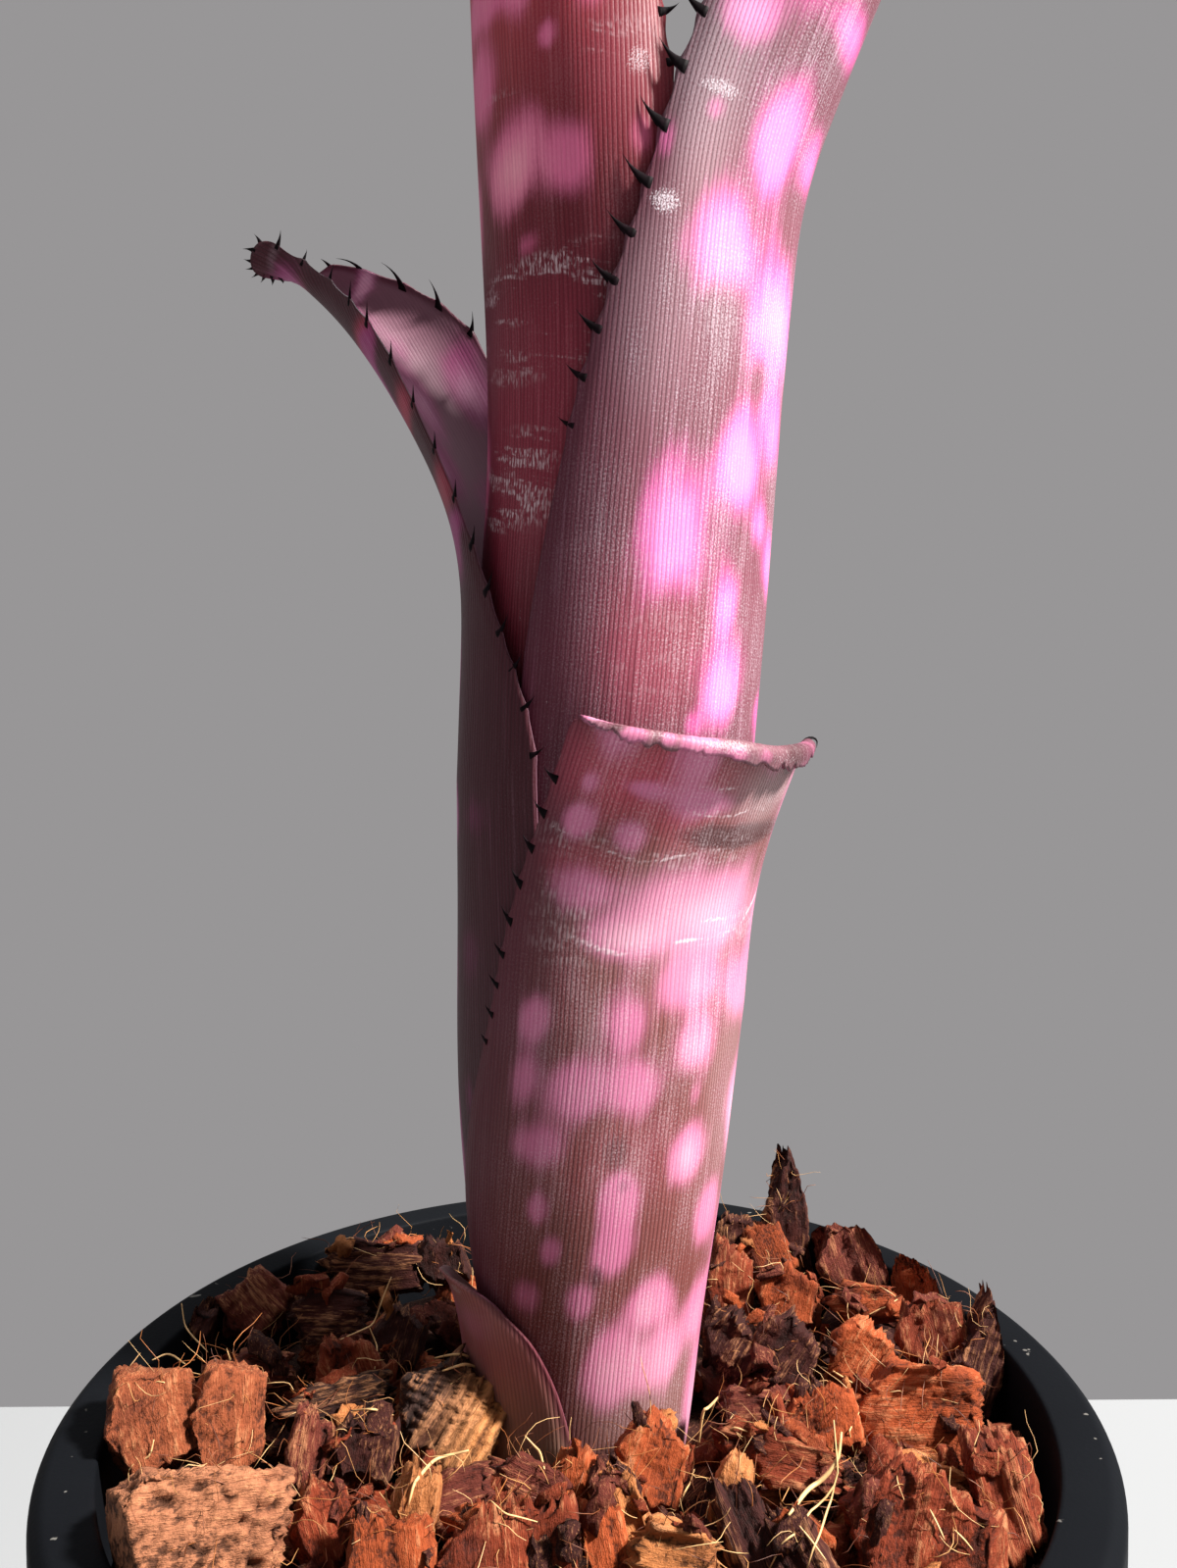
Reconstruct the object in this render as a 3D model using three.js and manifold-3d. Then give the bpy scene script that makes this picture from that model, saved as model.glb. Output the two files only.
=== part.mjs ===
import * as THREE from "three";
import { mergeVertices } from "three/addons/utils/BufferGeometryUtils.js";
import Module from "manifold-3d";

const wasm = await Module();
wasm.setup();

// Driving dimensions in millimetres. The origin is the centre of the pot's foot, +Z is up.
const potHeight = 125;
const rimRadius = 75;
const rimInner = 67.1;
const potSegments = 48;
const drainHoles = { count: 8, radius: 4, ring: 40 };

// The outside and inside of the pot's wall, as radius and height.
const potProfile = [
  [0, 0], [53, 0], [54.4, 1.5],
  [68.4, 108], [69.6, 116], [70.4, 122.4], [73, 122.4], [73.2, 118.5], [rimRadius, 118.5],
  [rimRadius, potHeight - 1.6], [rimRadius - 1.6, potHeight], [rimInner, potHeight],
  [66.4, 118], [65.9, 108], [51.9, 3], [0, 3],
];

// The bed of husk inside the pot.
const bedFloor = 3.35;
const bedTop = 113.5;
const chipPlane = 125.5;

// Leaf blades: thickness, and the step from one nested leaf to the next.
const bladeThickness = 0.8;
const layerStep = 1.4;

// The leaf tube: axis position, and radius of the innermost tall leaf by height.
const axisY = 6;
const axisLean = [
  [66, -0.4], [100, 0.4], [132, 1.1], [162, 1.9], [184, 3.1], [244, 6.9], [334, 14.1], [420, 22],
];
const tubeRadius = [
  [95, 7.8], [114, 11.3], [132, 13.2], [162, 16.7], [184, 18.2], [244, 20.6], [325, 20.6],
];

// Each leaf is set out along its midline. The keys are distances from its base.
// tilt: degrees outward from upright. curl: section radius against that of the tube.
// left, right: width of each half. end: depth of the rounded tip.
// spines: the first and last place along a margin, and by place the gap to the next and the size.
// fold: where the tip folds over by distance across, its radius, and how many degrees it turns.
const leaves = {
  leaf_young_inner: {
    layer: -1, azimuth: 62, base: 103, length: 166, end: 20, blunt: 2, free: 70,
    tilt: [[110, -3], [166, -2]],
    curl: [[110, 0.62], [166, 0.34]],
    left: [[0, 15], [50, 22], [110, 19], [150, 10], [166, 6]],
    right: [[0, 15], [50, 22], [110, 19], [150, 10], [166, 6]],
    cells: [10, 14], color: 0x7c3f55,
  },
  leaf_tall_left: {
    layer: 0, azimuth: -149, base: 103, length: 318, end: 24, blunt: 2, free: 150,
    tilt: [[190, 8.4], [230, 8.4], [265, 18], [295, 42], [330, 90]],
    curl: [[190, 0.96], [231, 0.73], [262, 0.74], [300, 1.1], [330, 2]],
    left: [[0, 18], [40, 27], [120, 31], [180, 30], [231, 26.6], [300, 26], [330, 25]],
    right: [[0, 18], [40, 27], [120, 31], [180, 30], [231, 25.8], [300, 26], [330, 25]],
    cells: [14, 26], color: 0x5e2531,
    spines: {
      left: {
        first: 164.6, last: 333,
        gap: [[164, 7], [300, 7], [334, 4.2]], size: [[164, 1.7], [187, 3.8], [334, 3.2]],
      },
      right: {
        first: 164.6, last: 333,
        gap: [[164, 7], [300, 7], [334, 4.2]], size: [[164, 1.7], [187, 3.8], [334, 3.2]],
      },
    },
  },
  leaf_tall_right: {
    layer: 1, azimuth: -24.3, base: 103, length: 306, end: 24, blunt: 2, free: 145,
    tilt: [[185, 1.2], [210, 20], [231, 20.5], [260, 31], [290, 54], [320, 92]],
    curl: [[185, 1.08], [231, 0.74], [262, 0.76], [300, 1.1], [330, 2]],
    left: [[0, 18], [40, 31], [120, 39], [160, 34], [200, 25], [231, 23.4], [300, 25], [330, 24]],
    right: [[0, 18], [40, 30], [120, 37], [160, 33], [200, 28], [231, 25], [300, 25], [330, 24]],
    cells: [14, 26], color: 0x8c5264,
    spines: {
      left: {
        first: 162.5, last: 323,
        gap: [[162, 6.2], [300, 6.6], [324, 4]], size: [[162, 2], [182, 4.2], [324, 3.4]],
      },
      right: {
        first: 160, last: 323,
        gap: [[162, 6.8], [300, 6.8], [324, 4]], size: [[162, 2], [182, 4], [324, 3.4]],
      },
    },
  },
  leaf_left_recurved: {
    layer: 2, azimuth: 161.2, base: 105, length: 216.4, end: 5, blunt: 2, free: 110,
    tilt: [[130, 2.1], [160, 30], [180, 38.6], [200, 48.7], [209, 53.4], [217, 68.4]],
    curl: [[150, 1.02], [180, 0.64], [205, 0.12], [212, 0.23], [219, 1.76]],
    twist: [[180, -1.4], [200, -1.4], [209, 42.7], [217, 90.7]],
    left: [[0, 18], [60, 32], [110, 33], [150, 20.6], [180, 21.3], [200, 9.7], [210, 3.1], [219, 5]],
    right: [[0, 18], [60, 32], [110, 32.5], [150, 17.3], [180, 13.1], [200, 5.7], [210, 2.9], [219, 3.1]],
    cells: [10, 24], spread: [[0, 0], [0.36, 0.5], [0.72, 0.9], [1, 1]], color: 0x6c3d55,
    spines: {
      left: {
        first: 116.4, last: 227.4,
        gap: [[110, 6.4], [212, 6.2], [218.6, 2], [222, 1.3], [224, 1.1], [228, 1.3]],
        size: [[110, 1], [130, 2.2], [207, 2.4], [214, 2], [221, 1.8], [223, 1.2], [228, 1.6]],
      },
      right: {
        first: 115.5, last: 224.4,
        gap: [[108, 7.6], [125, 5.6], [142, 7.2], [178, 8.6], [187, 6.6], [201, 9.6], [218, 4.1], [222, 1.8]],
        size: [[108, 1], [130, 2.2], [200, 2.5], [218, 2.4], [224, 2]],
      },
    },
  },
  leaf_front_short: {
    layer: 3, azimuth: -47.8, base: 107, length: 118.2, end: 5.3, blunt: 3, free: 75,
    fold: { at: [[-26, 112.7], [-8, 113.5], [2, 113], [16, 112.6]], radius: 1, turn: 165 },
    tilt: [[85, 2.7], [95, 12.7], [108, 21.1], [118, 19.8]],
    curl: [[95, 1.04], [108, 1.12], [118, 1.23]],
    left: [[0, 18], [50, 37], [80, 31.9], [105, 27.7], [124, 27.7]],
    right: [[0, 18], [50, 35], [80, 26.1], [105, 20.6], [116, 13.9]],
    cells: [12, 18], spread: [[0, 0], [0.6, 0.955], [0.61, 0.958], [1, 1]], color: 0x9a5f74,
    spines: {
      left: { first: 76, last: 113, gap: [[76, 4], [113, 4.4]], size: [[76, 1.1], [90, 1.9], [113, 1.7]] },
      right: {
        first: 72, last: 117,
        gap: [[72, 4.6], [103, 4.6], [110, 3], [117, 2.6]], size: [[72, 1.1], [117, 1.2]],
      },
    },
    mucro: { side: 1, distance: 119.5, size: 3.2 },
  },
  leaf_basal_bract: {
    layer: 4.1, azimuth: -158.5, base: 105, length: 38.9, end: 4, blunt: 2, free: 16,
    tilt: [[20, 6.3], [28, 10.2], [34, 17.7], [40, 45.4]],
    curl: [[30, 1], [40, 0.55]],
    left: [[0, 16], [8, 20], [20, 19], [28, 13], [34, 7], [40, 2]],
    right: [[0, 16], [8, 23], [17, 19.5], [24, 17.9], [30, 15.5], [34, 11.5], [37, 7.8], [40, 2]],
    cells: [8, 12], color: 0x6f5a55,
  },
};

// The plant leans a little to the right as it rises.
function axisX(z) {
  return along(axisLean, z);
}

// A smooth curve through pairs of place and value, without overshoot.
function along(keys, s) {
  const last = keys.length - 1;
  if (s <= keys[0][0]) return keys[0][1];
  if (s >= keys[last][0]) return keys[last][1];
  let i = 0;
  while (keys[i + 1][0] <= s) i += 1;
  const slope = (k) => (keys[k + 1][1] - keys[k][1]) / (keys[k + 1][0] - keys[k][0]);
  const tangent = (k) => {
    if (k === 0) return slope(0);
    if (k === last) return slope(last - 1);
    const a = slope(k - 1);
    const b = slope(k);
    return a * b <= 0 ? 0 : (2 * a * b) / (a + b);
  };
  const span = keys[i + 1][0] - keys[i][0];
  const t = (s - keys[i][0]) / span;
  const rise = (1 - t) * (1 - t);
  return (1 + 2 * t) * rise * keys[i][1] + t * rise * span * tangent(i)
    + t * t * (3 - 2 * t) * keys[i + 1][1] - t * t * (1 - t) * span * tangent(i + 1);
}

// The midline of a leaf every millimetre, with its outward and sideways directions.
function midline(leaf) {
  const azimuth = THREE.MathUtils.degToRad(leaf.azimuth);
  const out = new THREE.Vector3(Math.cos(azimuth), Math.sin(azimuth), 0);
  const side = new THREE.Vector3(-Math.sin(azimuth), Math.cos(azimuth), 0);
  const up = new THREE.Vector3(0, 0, 1);
  const tilt = [[leaf.free, 0], ...leaf.tilt];
  const curl = [[leaf.free, 1], ...leaf.curl];
  const stations = [];
  const walk = new THREE.Vector3();
  for (let s = 0; s <= leaf.length + 14; s += 1) {
    const inTube = s <= leaf.free;
    const z = leaf.base + Math.min(s, leaf.free);
    const radius = along(tubeRadius, z) + leaf.layer * layerStep;
    const angle = inTube ? 0 : THREE.MathUtils.degToRad(along(tilt, s));
    if (inTube) walk.copy(out).multiplyScalar(radius).setZ(z);
    else walk.addScaledVector(up, Math.cos(angle)).addScaledVector(out, Math.sin(angle));
    const normal = out.clone().multiplyScalar(Math.cos(angle));
    normal.addScaledVector(up, -Math.sin(angle));
    let across = side.clone();
    if (leaf.twist && !inTube) {
      const turn = THREE.MathUtils.degToRad(along([[leaf.free, 0], ...leaf.twist], s));
      across = side.clone().multiplyScalar(Math.cos(turn)).addScaledVector(normal, -Math.sin(turn));
      normal.multiplyScalar(Math.cos(turn)).addScaledVector(side, Math.sin(turn));
    }
    const place = walk.clone().add(new THREE.Vector3(axisX(walk.z), axisY, 0));
    stations.push({ place, normal, across, radius: radius * (inTube ? 1 : along(curl, s)) });
  }
  return stations;
}

// A point of the blade: q across from the midline, s along it, n outward from the mid-surface.
function bladePoint(leaf, q, s, n) {
  let reach = s;
  let out = n;
  const foldAt = leaf.fold ? along(leaf.fold.at, q) : leaf.length;
  if (leaf.fold && s > foldAt) {
    const { radius: bend, turn: most } = leaf.fold;
    const turn = Math.min((s - foldAt) / bend, THREE.MathUtils.degToRad(most));
    const flap = s - foldAt - bend * turn;
    reach = foldAt + (bend - n) * Math.sin(turn) + flap * Math.cos(turn);
    out = bend - (bend - n) * Math.cos(turn) + flap * Math.sin(turn);
  }
  const t = Math.max(0, Math.min(reach, leaf.stations.length - 1.001));
  const a = leaf.stations[Math.floor(t)];
  const b = leaf.stations[Math.floor(t) + 1];
  const f = t - Math.floor(t);
  const radius = THREE.MathUtils.lerp(a.radius, b.radius, f);
  const place = a.place.clone().lerp(b.place, f);
  const normal = a.normal.clone().lerp(b.normal, f);
  const across = a.across.clone().lerp(b.across, f);
  const angle = q / radius;
  return place.addScaledVector(normal, -radius)
    .addScaledVector(normal, (radius + out) * Math.cos(angle))
    .addScaledVector(across, (radius + out) * Math.sin(angle));
}

// Half width at u from -1 to 1, and how far up the blade reaches there.
function bladeWidth(leaf, u, s) {
  return u * along(u < 0 ? leaf.left : leaf.right, s);
}

function bladeReach(leaf, u) {
  return leaf.length - leaf.end * (1 - Math.sqrt(Math.max(0, 1 - Math.abs(u) ** leaf.blunt)));
}

function geometryFrom(points, faces) {
  const geometry = new THREE.BufferGeometry();
  const flat = points.flatMap((p) => [p.x, p.y, p.z]);
  geometry.setAttribute("position", new THREE.Float32BufferAttribute(flat, 3));
  geometry.setIndex(faces.flat());
  return geometry;
}

// One blade with an even thickness, closed along its margins and both ends.
function bladeGeometry(leaf) {
  const [across, up] = leaf.cells;
  const points = [];
  const rows = [...Array(up + 1).keys()].map((i) => along(leaf.spread || [[0, 0], [1, 1]], i / up));
  for (const n of [bladeThickness / 2, -bladeThickness / 2]) {
    for (const v of rows) {
      for (let j = 0; j <= across; j += 1) {
        const even = (2 * j) / across - 1;
        const u = 0.7 * even + 0.3 * Math.sin((Math.PI / 2) * even);
        const s = bladeReach(leaf, u) * v;
        points.push(bladePoint(leaf, bladeWidth(leaf, u, s), s, n));
      }
    }
  }
  const wide = across + 1;
  const sheet = wide * rows.length;
  const faces = [];
  const quad = (a, b, c, d) => faces.push([a, b, c], [a, c, d]);
  for (let i = 0; i < rows.length - 1; i += 1) {
    for (let j = 0; j < across; j += 1) {
      const a = i * wide + j;
      quad(a, a + 1, a + wide + 1, a + wide);
      quad(sheet + a, sheet + a + wide, sheet + a + wide + 1, sheet + a + 1);
    }
    const left = i * wide;
    const right = left + across;
    quad(left, left + wide, sheet + left + wide, sheet + left);
    quad(right, sheet + right, sheet + right + wide, right + wide);
  }
  const top = (rows.length - 1) * wide;
  for (let j = 0; j < across; j += 1) {
    quad(j, sheet + j, sheet + j + 1, j + 1);
    quad(top + j, top + j + 1, sheet + top + j + 1, sheet + top + j);
  }
  return geometryFrom(points, faces);
}

// The margin of one side from the base round to the middle of the tip, with its length.
function marginPath(leaf, side) {
  const path = [];
  const shoulder = leaf.length - leaf.end;
  for (let s = 0; s < shoulder; s += 1) path.push([bladeWidth(leaf, side, s), s]);
  for (let k = 0; k <= 24; k += 1) {
    const u = side * Math.cos((Math.PI / 2) * (k / 24));
    const s = bladeReach(leaf, u);
    path.push([bladeWidth(leaf, u, s), s]);
  }
  let length = 0;
  return path.map(([q, s], i) => {
    if (i > 0) length += Math.hypot(q - path[i - 1][0], s - path[i - 1][1]);
    return { q, s, length };
  });
}

// A hooked spine: a three-sided base sunk in the margin, a waist, and a point bent tipward.
function spineGeometry(leaf, side, path, distance, size) {
  const i = path.findIndex((p) => p.length >= distance);
  const [a, b] = [path[i - 1], path[i]];
  const step = b.length - a.length;
  const tangent = [(b.q - a.q) / step, (b.s - a.s) / step];
  const outward = [side * tangent[1], -side * tangent[0]];
  const half = 0.32 + size * 0.17;
  const place = (out, forward, n) => bladePoint(
    leaf,
    a.q + outward[0] * out + tangent[0] * forward,
    a.s + outward[1] * out + tangent[1] * forward,
    n,
  );
  const ring = (out, forward, width, thick) => [
    place(out, forward - width, 0),
    place(out, forward + width, thick),
    place(out, forward + width, -thick),
  ];
  const points = [
    ...ring(-1.1, 0, half, 0.3), ...ring(size * 0.45, size * 0.16, half * 0.5, 0.22),
    place(size, size * 0.52, 0),
  ];
  const faces = [[0, 2, 1], [3, 4, 6], [4, 5, 6], [5, 3, 6]];
  for (let k = 0; k < 3; k += 1) {
    const next = (k + 1) % 3;
    faces.push([k, next, 3 + next], [k, 3 + next, 3 + k]);
  }
  return geometryFrom(points, faces);
}

function leafSpines(leaf) {
  const spines = [];
  if (!leaf.spines) return spines;
  for (const [name, side] of [["left", -1], ["right", 1]]) {
    const { first, last, gap, size } = leaf.spines[name];
    const path = marginPath(leaf, side);
    for (let distance = first; distance < last; distance += along(gap, distance)) {
      spines.push(spineGeometry(leaf, side, path, distance, along(size, distance)));
    }
    const mucro = leaf.mucro;
    if (mucro && mucro.side === side) {
      spines.push(spineGeometry(leaf, side, path, mucro.distance, mucro.size));
    }
  }
  return spines;
}

// Signed volume, used to turn a closed surface outward.
function signedVolume(geometry) {
  const position = geometry.getAttribute("position");
  const index = geometry.getIndex();
  const [a, b, c] = [new THREE.Vector3(), new THREE.Vector3(), new THREE.Vector3()];
  let volume = 0;
  for (let i = 0; i < index.count; i += 3) {
    a.fromBufferAttribute(position, index.getX(i));
    b.fromBufferAttribute(position, index.getX(i + 1));
    c.fromBufferAttribute(position, index.getX(i + 2));
    volume += a.dot(b.cross(c)) / 6;
  }
  return volume;
}

// Shared vertices, no collapsed triangles, faces outward.
function closed(source) {
  const bare = source.clone();
  bare.deleteAttribute("normal");
  bare.deleteAttribute("uv");
  const geometry = mergeVertices(bare, 1e-4);
  const index = geometry.getIndex();
  const kept = [];
  for (let i = 0; i < index.count; i += 3) {
    const [a, b, c] = [index.getX(i), index.getX(i + 1), index.getX(i + 2)];
    if (a !== b && b !== c && c !== a) kept.push(a, b, c);
  }
  geometry.setIndex(kept);
  if (signedVolume(geometry) < 0) {
    for (let i = 0; i < kept.length; i += 3) [kept[i], kept[i + 1]] = [kept[i + 1], kept[i]];
    geometry.setIndex(kept);
  }
  return geometry;
}

function toSolid(source) {
  const geometry = closed(source);
  return new wasm.Manifold(new wasm.Mesh({
    numProp: 3,
    vertProperties: new Float32Array(geometry.getAttribute("position").array),
    triVerts: new Uint32Array(geometry.getIndex().array),
  }));
}

function joined(geometries) {
  return geometries.map(toSolid).reduce((sum, solid) => sum.add(solid));
}

function fromSolid(solid) {
  const mesh = solid.getMesh();
  const points = [];
  for (let i = 0; i < mesh.vertProperties.length; i += mesh.numProp) {
    points.push(new THREE.Vector3(...mesh.vertProperties.slice(i, i + 3)));
  }
  const faces = [];
  for (let i = 0; i < mesh.triVerts.length; i += 3) faces.push([...mesh.triVerts.slice(i, i + 3)]);
  return closed(geometryFrom(points, faces));
}

function revolve(profile, segments) {
  const ring = [...profile, profile[0]].map(([r, z]) => new THREE.Vector2(r, z));
  return new THREE.LatheGeometry(ring, segments).rotateX(Math.PI / 2);
}

function potSolid() {
  let pot = toSolid(revolve(potProfile, potSegments));
  for (let k = 0; k < drainHoles.count; k += 1) {
    const angle = ((k + 0.5) * 2 * Math.PI) / drainHoles.count;
    const drill = new THREE.CylinderGeometry(drainHoles.radius, drainHoles.radius, 12, 14);
    drill.rotateX(Math.PI / 2);
    drill.translate(drainHoles.ring * Math.cos(angle), drainHoles.ring * Math.sin(angle), 1.5);
    pot = pot.subtract(toSolid(drill));
  }
  return pot;
}

// The short stem that the leaves grow from, inside their bases and down in the husk.
const stemProfile = [
  [0, 66], [3.4, 66.8], [5.2, 70], [6.3, 90], [6.6, 102], [7, 104],
  [8.2, 111], [8.4, 115], [5.6, 118], [0, 119],
];

// The plain hole in the husk: close round the stem, then round the leaf bases.
const holeProfile = [[0, 65.5], [3.7, 65.5], [5.8, 69.8], [6.9, 90], [7.4, 102.5], [14.2, 102.5]];

function holeSolid() {
  const profile = [...holeProfile];
  for (let z = 103; z <= 163; z += 6) profile.push([along(tubeRadius, z) + 4.5 * layerStep + 0.75, z]);
  profile.push([0, 163]);
  return toSolid(revolve(profile, 40).translate(axisX(112), axisY, 0));
}

// A repeatable random sequence.
function seeded(seed) {
  let state = seed;
  return () => {
    state = (state * 1664525 + 1013904223) % 4294967296;
    return state / 4294967296;
  };
}

// The point that the chips of the top layer turn their broad faces to.
const facing = new THREE.Vector3(2, -173.7, 220.3);
const facingPitch = THREE.MathUtils.degToRad(1.96);
const facingRoll = THREE.MathUtils.degToRad(0.38);
const facingScale = 1201;
const facingCentre = [600, 799.5];

// The top chips as seen from that point: left, top, right, bottom, turn in degrees,
// and for some how far they stand above the others in millimetres.
const topChips = {
  twoLobedLeft: [98, 1390, 212, 1507, -8, 4],
  twoLobedRight: [190, 1392, 275, 1500, 6, 3],
  granular: [92, 1503, 300, 1640, 4, 4],
  striped: [402, 1392, 524, 1492, 37],
  pointed: [287, 1445, 340, 1523, 12],
  belowPointed: [300, 1510, 367, 1592, -14],
  backLeft: [330, 1262, 430, 1320, 5],
  besideTube: [424, 1263, 478, 1309, -6],
  leaning: [216, 1296, 297, 1366, -40],
  nearWallLeft: [180, 1330, 219, 1364, 30],
  midLeft: [293, 1313, 372, 1375, 8],
  brightLeft: [327, 1365, 392, 1436, -18],
  behindLobes: [227, 1374, 304, 1424, 3],
  midDark: [376, 1338, 432, 1396, 20],
  shade: [293, 1407, 392, 1455, -5],
  shadeFront: [330, 1450, 405, 1514, 14],
  uprightFlake: [402, 1500, 448, 1584, 8],
  frontBlock: [338, 1552, 450, 1650, -4],
  frontCentre: [447, 1540, 588, 1640, -3],
  darkCentre: [433, 1494, 505, 1558, -10],
  slanted: [497, 1488, 585, 1538, 24],
  rounded: [553, 1482, 620, 1538, 10],
  frontSmall: [585, 1537, 642, 1606, -12],
  frontOfBase: [626, 1449, 706, 1536, 22],
  paleFlake: [603, 1508, 664, 1610, -20],
  paleSlab: [643, 1556, 735, 1622, 6],
  goldenFibre: [724, 1484, 762, 1560, 15],
  darkSlabLeft: [738, 1526, 794, 1620, -28],
  darkSlabRight: [776, 1540, 846, 1640, -30],
  shell: [726, 1448, 801, 1494, 10],
  brightRight: [793, 1422, 878, 1481, -12],
  redBrown: [762, 1468, 862, 1519, 5],
  bigBlock: [880, 1390, 1003, 1500, -6],
  goldenStrip: [897, 1487, 984, 1515, 4],
  frontRight: [862, 1508, 1027, 1630, 12],
  wallChip: [990, 1476, 1056, 1590, -18],
  topRight: [915, 1283, 997, 1335, 6],
  underTopRight: [913, 1332, 988, 1388, -14],
  behindTall: [836, 1247, 904, 1318, -20],
  backDark: [722, 1240, 772, 1293, 8],
  backOrange: [750, 1248, 808, 1308, -24],
  besideTubeRight: [716, 1274, 768, 1348, 6],
  midRight: [770, 1292, 838, 1348, 14],
  orangeRight: [842, 1306, 914, 1348, -6],
  goldenPoint: [847, 1346, 904, 1412, 30],
  reddishSlab: [715, 1346, 778, 1400, 32],
  reddishSlabLong: [766, 1346, 838, 1414, 36],
  darkOrange: [732, 1418, 794, 1462, -8],
};

// Where a chip seen at a given place lies on the level of the top layer.
function seenAt(x, y, level) {
  const forward = new THREE.Vector3(0, Math.cos(facingPitch), -Math.sin(facingPitch));
  const right = new THREE.Vector3(1, 0, 0);
  const down = forward.clone().cross(right);
  const [cosine, sine] = [Math.cos(facingRoll), Math.sin(facingRoll)];
  const turnedRight = right.clone().multiplyScalar(cosine).addScaledVector(down, sine);
  const turnedDown = down.clone().multiplyScalar(cosine).addScaledVector(right, -sine);
  const ray = forward.clone()
    .addScaledVector(turnedRight, (x - facingCentre[0]) / facingScale)
    .addScaledVector(turnedDown, (y - facingCentre[1]) / facingScale);
  const reach = (level - facing.z) / ray.z;
  return { place: facing.clone().addScaledVector(ray, reach), scale: reach / facingScale };
}

// An irregular slab: six uneven corners on a broad face and a smaller face behind it.
function chipGeometry(width, height, thickness, random, point = 0) {
  const corners = 5;
  const points = [];
  const radii = [...Array(corners)].map(() => 0.82 + 0.3 * random());
  for (const [depth, scale] of [[thickness / 2, 0.9], [-thickness / 2, 1]]) {
    for (let k = 0; k < corners; k += 1) {
      const angle = ((k + 0.5) * 2 * Math.PI) / corners;
      const x = Math.sign(Math.cos(angle)) * Math.abs(Math.cos(angle)) ** 0.6;
      const y = Math.sign(Math.sin(angle)) * Math.abs(Math.sin(angle)) ** 0.6;
      points.push(new THREE.Vector3(
        (x * radii[k] * scale * width * (1 - (point * (y + 1)) / 2)) / 2,
        (y * radii[k] * scale * height) / 2,
        depth * (0.8 + 0.4 * random()),
      ));
    }
  }
  const faces = [];
  for (let k = 1; k < corners - 1; k += 1) {
    faces.push([0, k, k + 1], [corners, corners + k + 1, corners + k]);
  }
  for (let k = 0; k < corners; k += 1) {
    const next = (k + 1) % corners;
    faces.push([k, corners + k, corners + next], [k, corners + next, next]);
  }
  return geometryFrom(points, faces);
}

// Turns a slab's broad face to a direction, its height axis as near upright as can be.
function faceTo(geometry, direction, turn) {
  const z = direction.clone().normalize();
  const x = new THREE.Vector3(0, 0, 1).cross(z).normalize();
  const y = z.clone().cross(x);
  const basis = new THREE.Matrix4().makeBasis(x, y, z);
  geometry.rotateZ(THREE.MathUtils.degToRad(turn));
  return geometry.applyMatrix4(basis);
}

function topChipGeometries() {
  const random = seeded(11);
  return Object.values(topChips).map(([left, top, right, bottom, turn, lift = 0]) => {
    const { place, scale } = seenAt((left + right) / 2, (top + bottom) / 2, chipPlane + lift);
    const width = (right - left) * scale;
    const height = (bottom - top) * scale;
    const thickness = 0.45 * Math.min(width, height) + 4;
    const chip = chipGeometry(width * 1.08, height * 1.08, thickness, random);
    const direction = facing.clone().sub(place).normalize();
    faceTo(chip, direction, -turn);
    place.addScaledVector(direction, -thickness / 2);
    return chip.translate(place.x, place.y, place.z);
  });
}

// The chips at the back wall that stand above the rim.
const standingChips = [
  { place: [40, 51, 126.5], size: [16, 32, 5], turn: -4, nod: 80, point: 0.8 },
  { place: [62, 8, 120.5], size: [8.5, 28, 4.5], turn: -24, nod: 72, point: 0.2 },
];

// Fill chips on a sunflower spiral over the whole bed.
const fill = { count: 36, reach: 60, size: [15, 21], seed: 5 };

function fillChipGeometries() {
  const random = seeded(fill.seed);
  const chips = [];
  for (let k = 0; k < fill.count; k += 1) {
    const radius = fill.reach * Math.sqrt((k + 0.5) / fill.count);
    const angle = k * 2.39996;
    const width = THREE.MathUtils.lerp(...fill.size, random());
    const height = width * (0.6 + 0.4 * random());
    const chip = chipGeometry(width, height, 5 + 3 * random(), random);
    const lean = 0.2 + 0.9 * random();
    const heading = 2 * Math.PI * random();
    const direction = new THREE.Vector3(Math.cos(heading) * lean, Math.sin(heading) * lean, 1);
    faceTo(chip, direction, 360 * random());
    const z = 113.8 + 2.6 * random();
    chips.push(chip.translate(radius * Math.cos(angle), radius * Math.sin(angle), z));
  }
  return chips;
}

// Only the outer surface that holds the bed is kept: no closed voids between the chips.
function outerSurface(geometry) {
  const index = geometry.getIndex();
  const position = geometry.getAttribute("position");
  const parent = [...Array(position.count).keys()];
  const root = (i) => {
    let r = i;
    while (parent[r] !== r) r = parent[r];
    parent[i] = r;
    return r;
  };
  for (let i = 0; i < index.count; i += 3) {
    parent[root(index.getX(i))] = root(index.getX(i + 1));
    parent[root(index.getX(i + 1))] = root(index.getX(i + 2));
  }
  let lowest = 0;
  for (let i = 1; i < position.count; i += 1) {
    if (position.getZ(i) < position.getZ(lowest)) lowest = i;
  }
  const kept = [];
  for (let i = 0; i < index.count; i += 3) {
    if (root(index.getX(i)) !== root(lowest)) continue;
    kept.push(index.getX(i), index.getX(i + 1), index.getX(i + 2));
  }
  geometry.setIndex(kept);
  return geometry;
}

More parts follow.
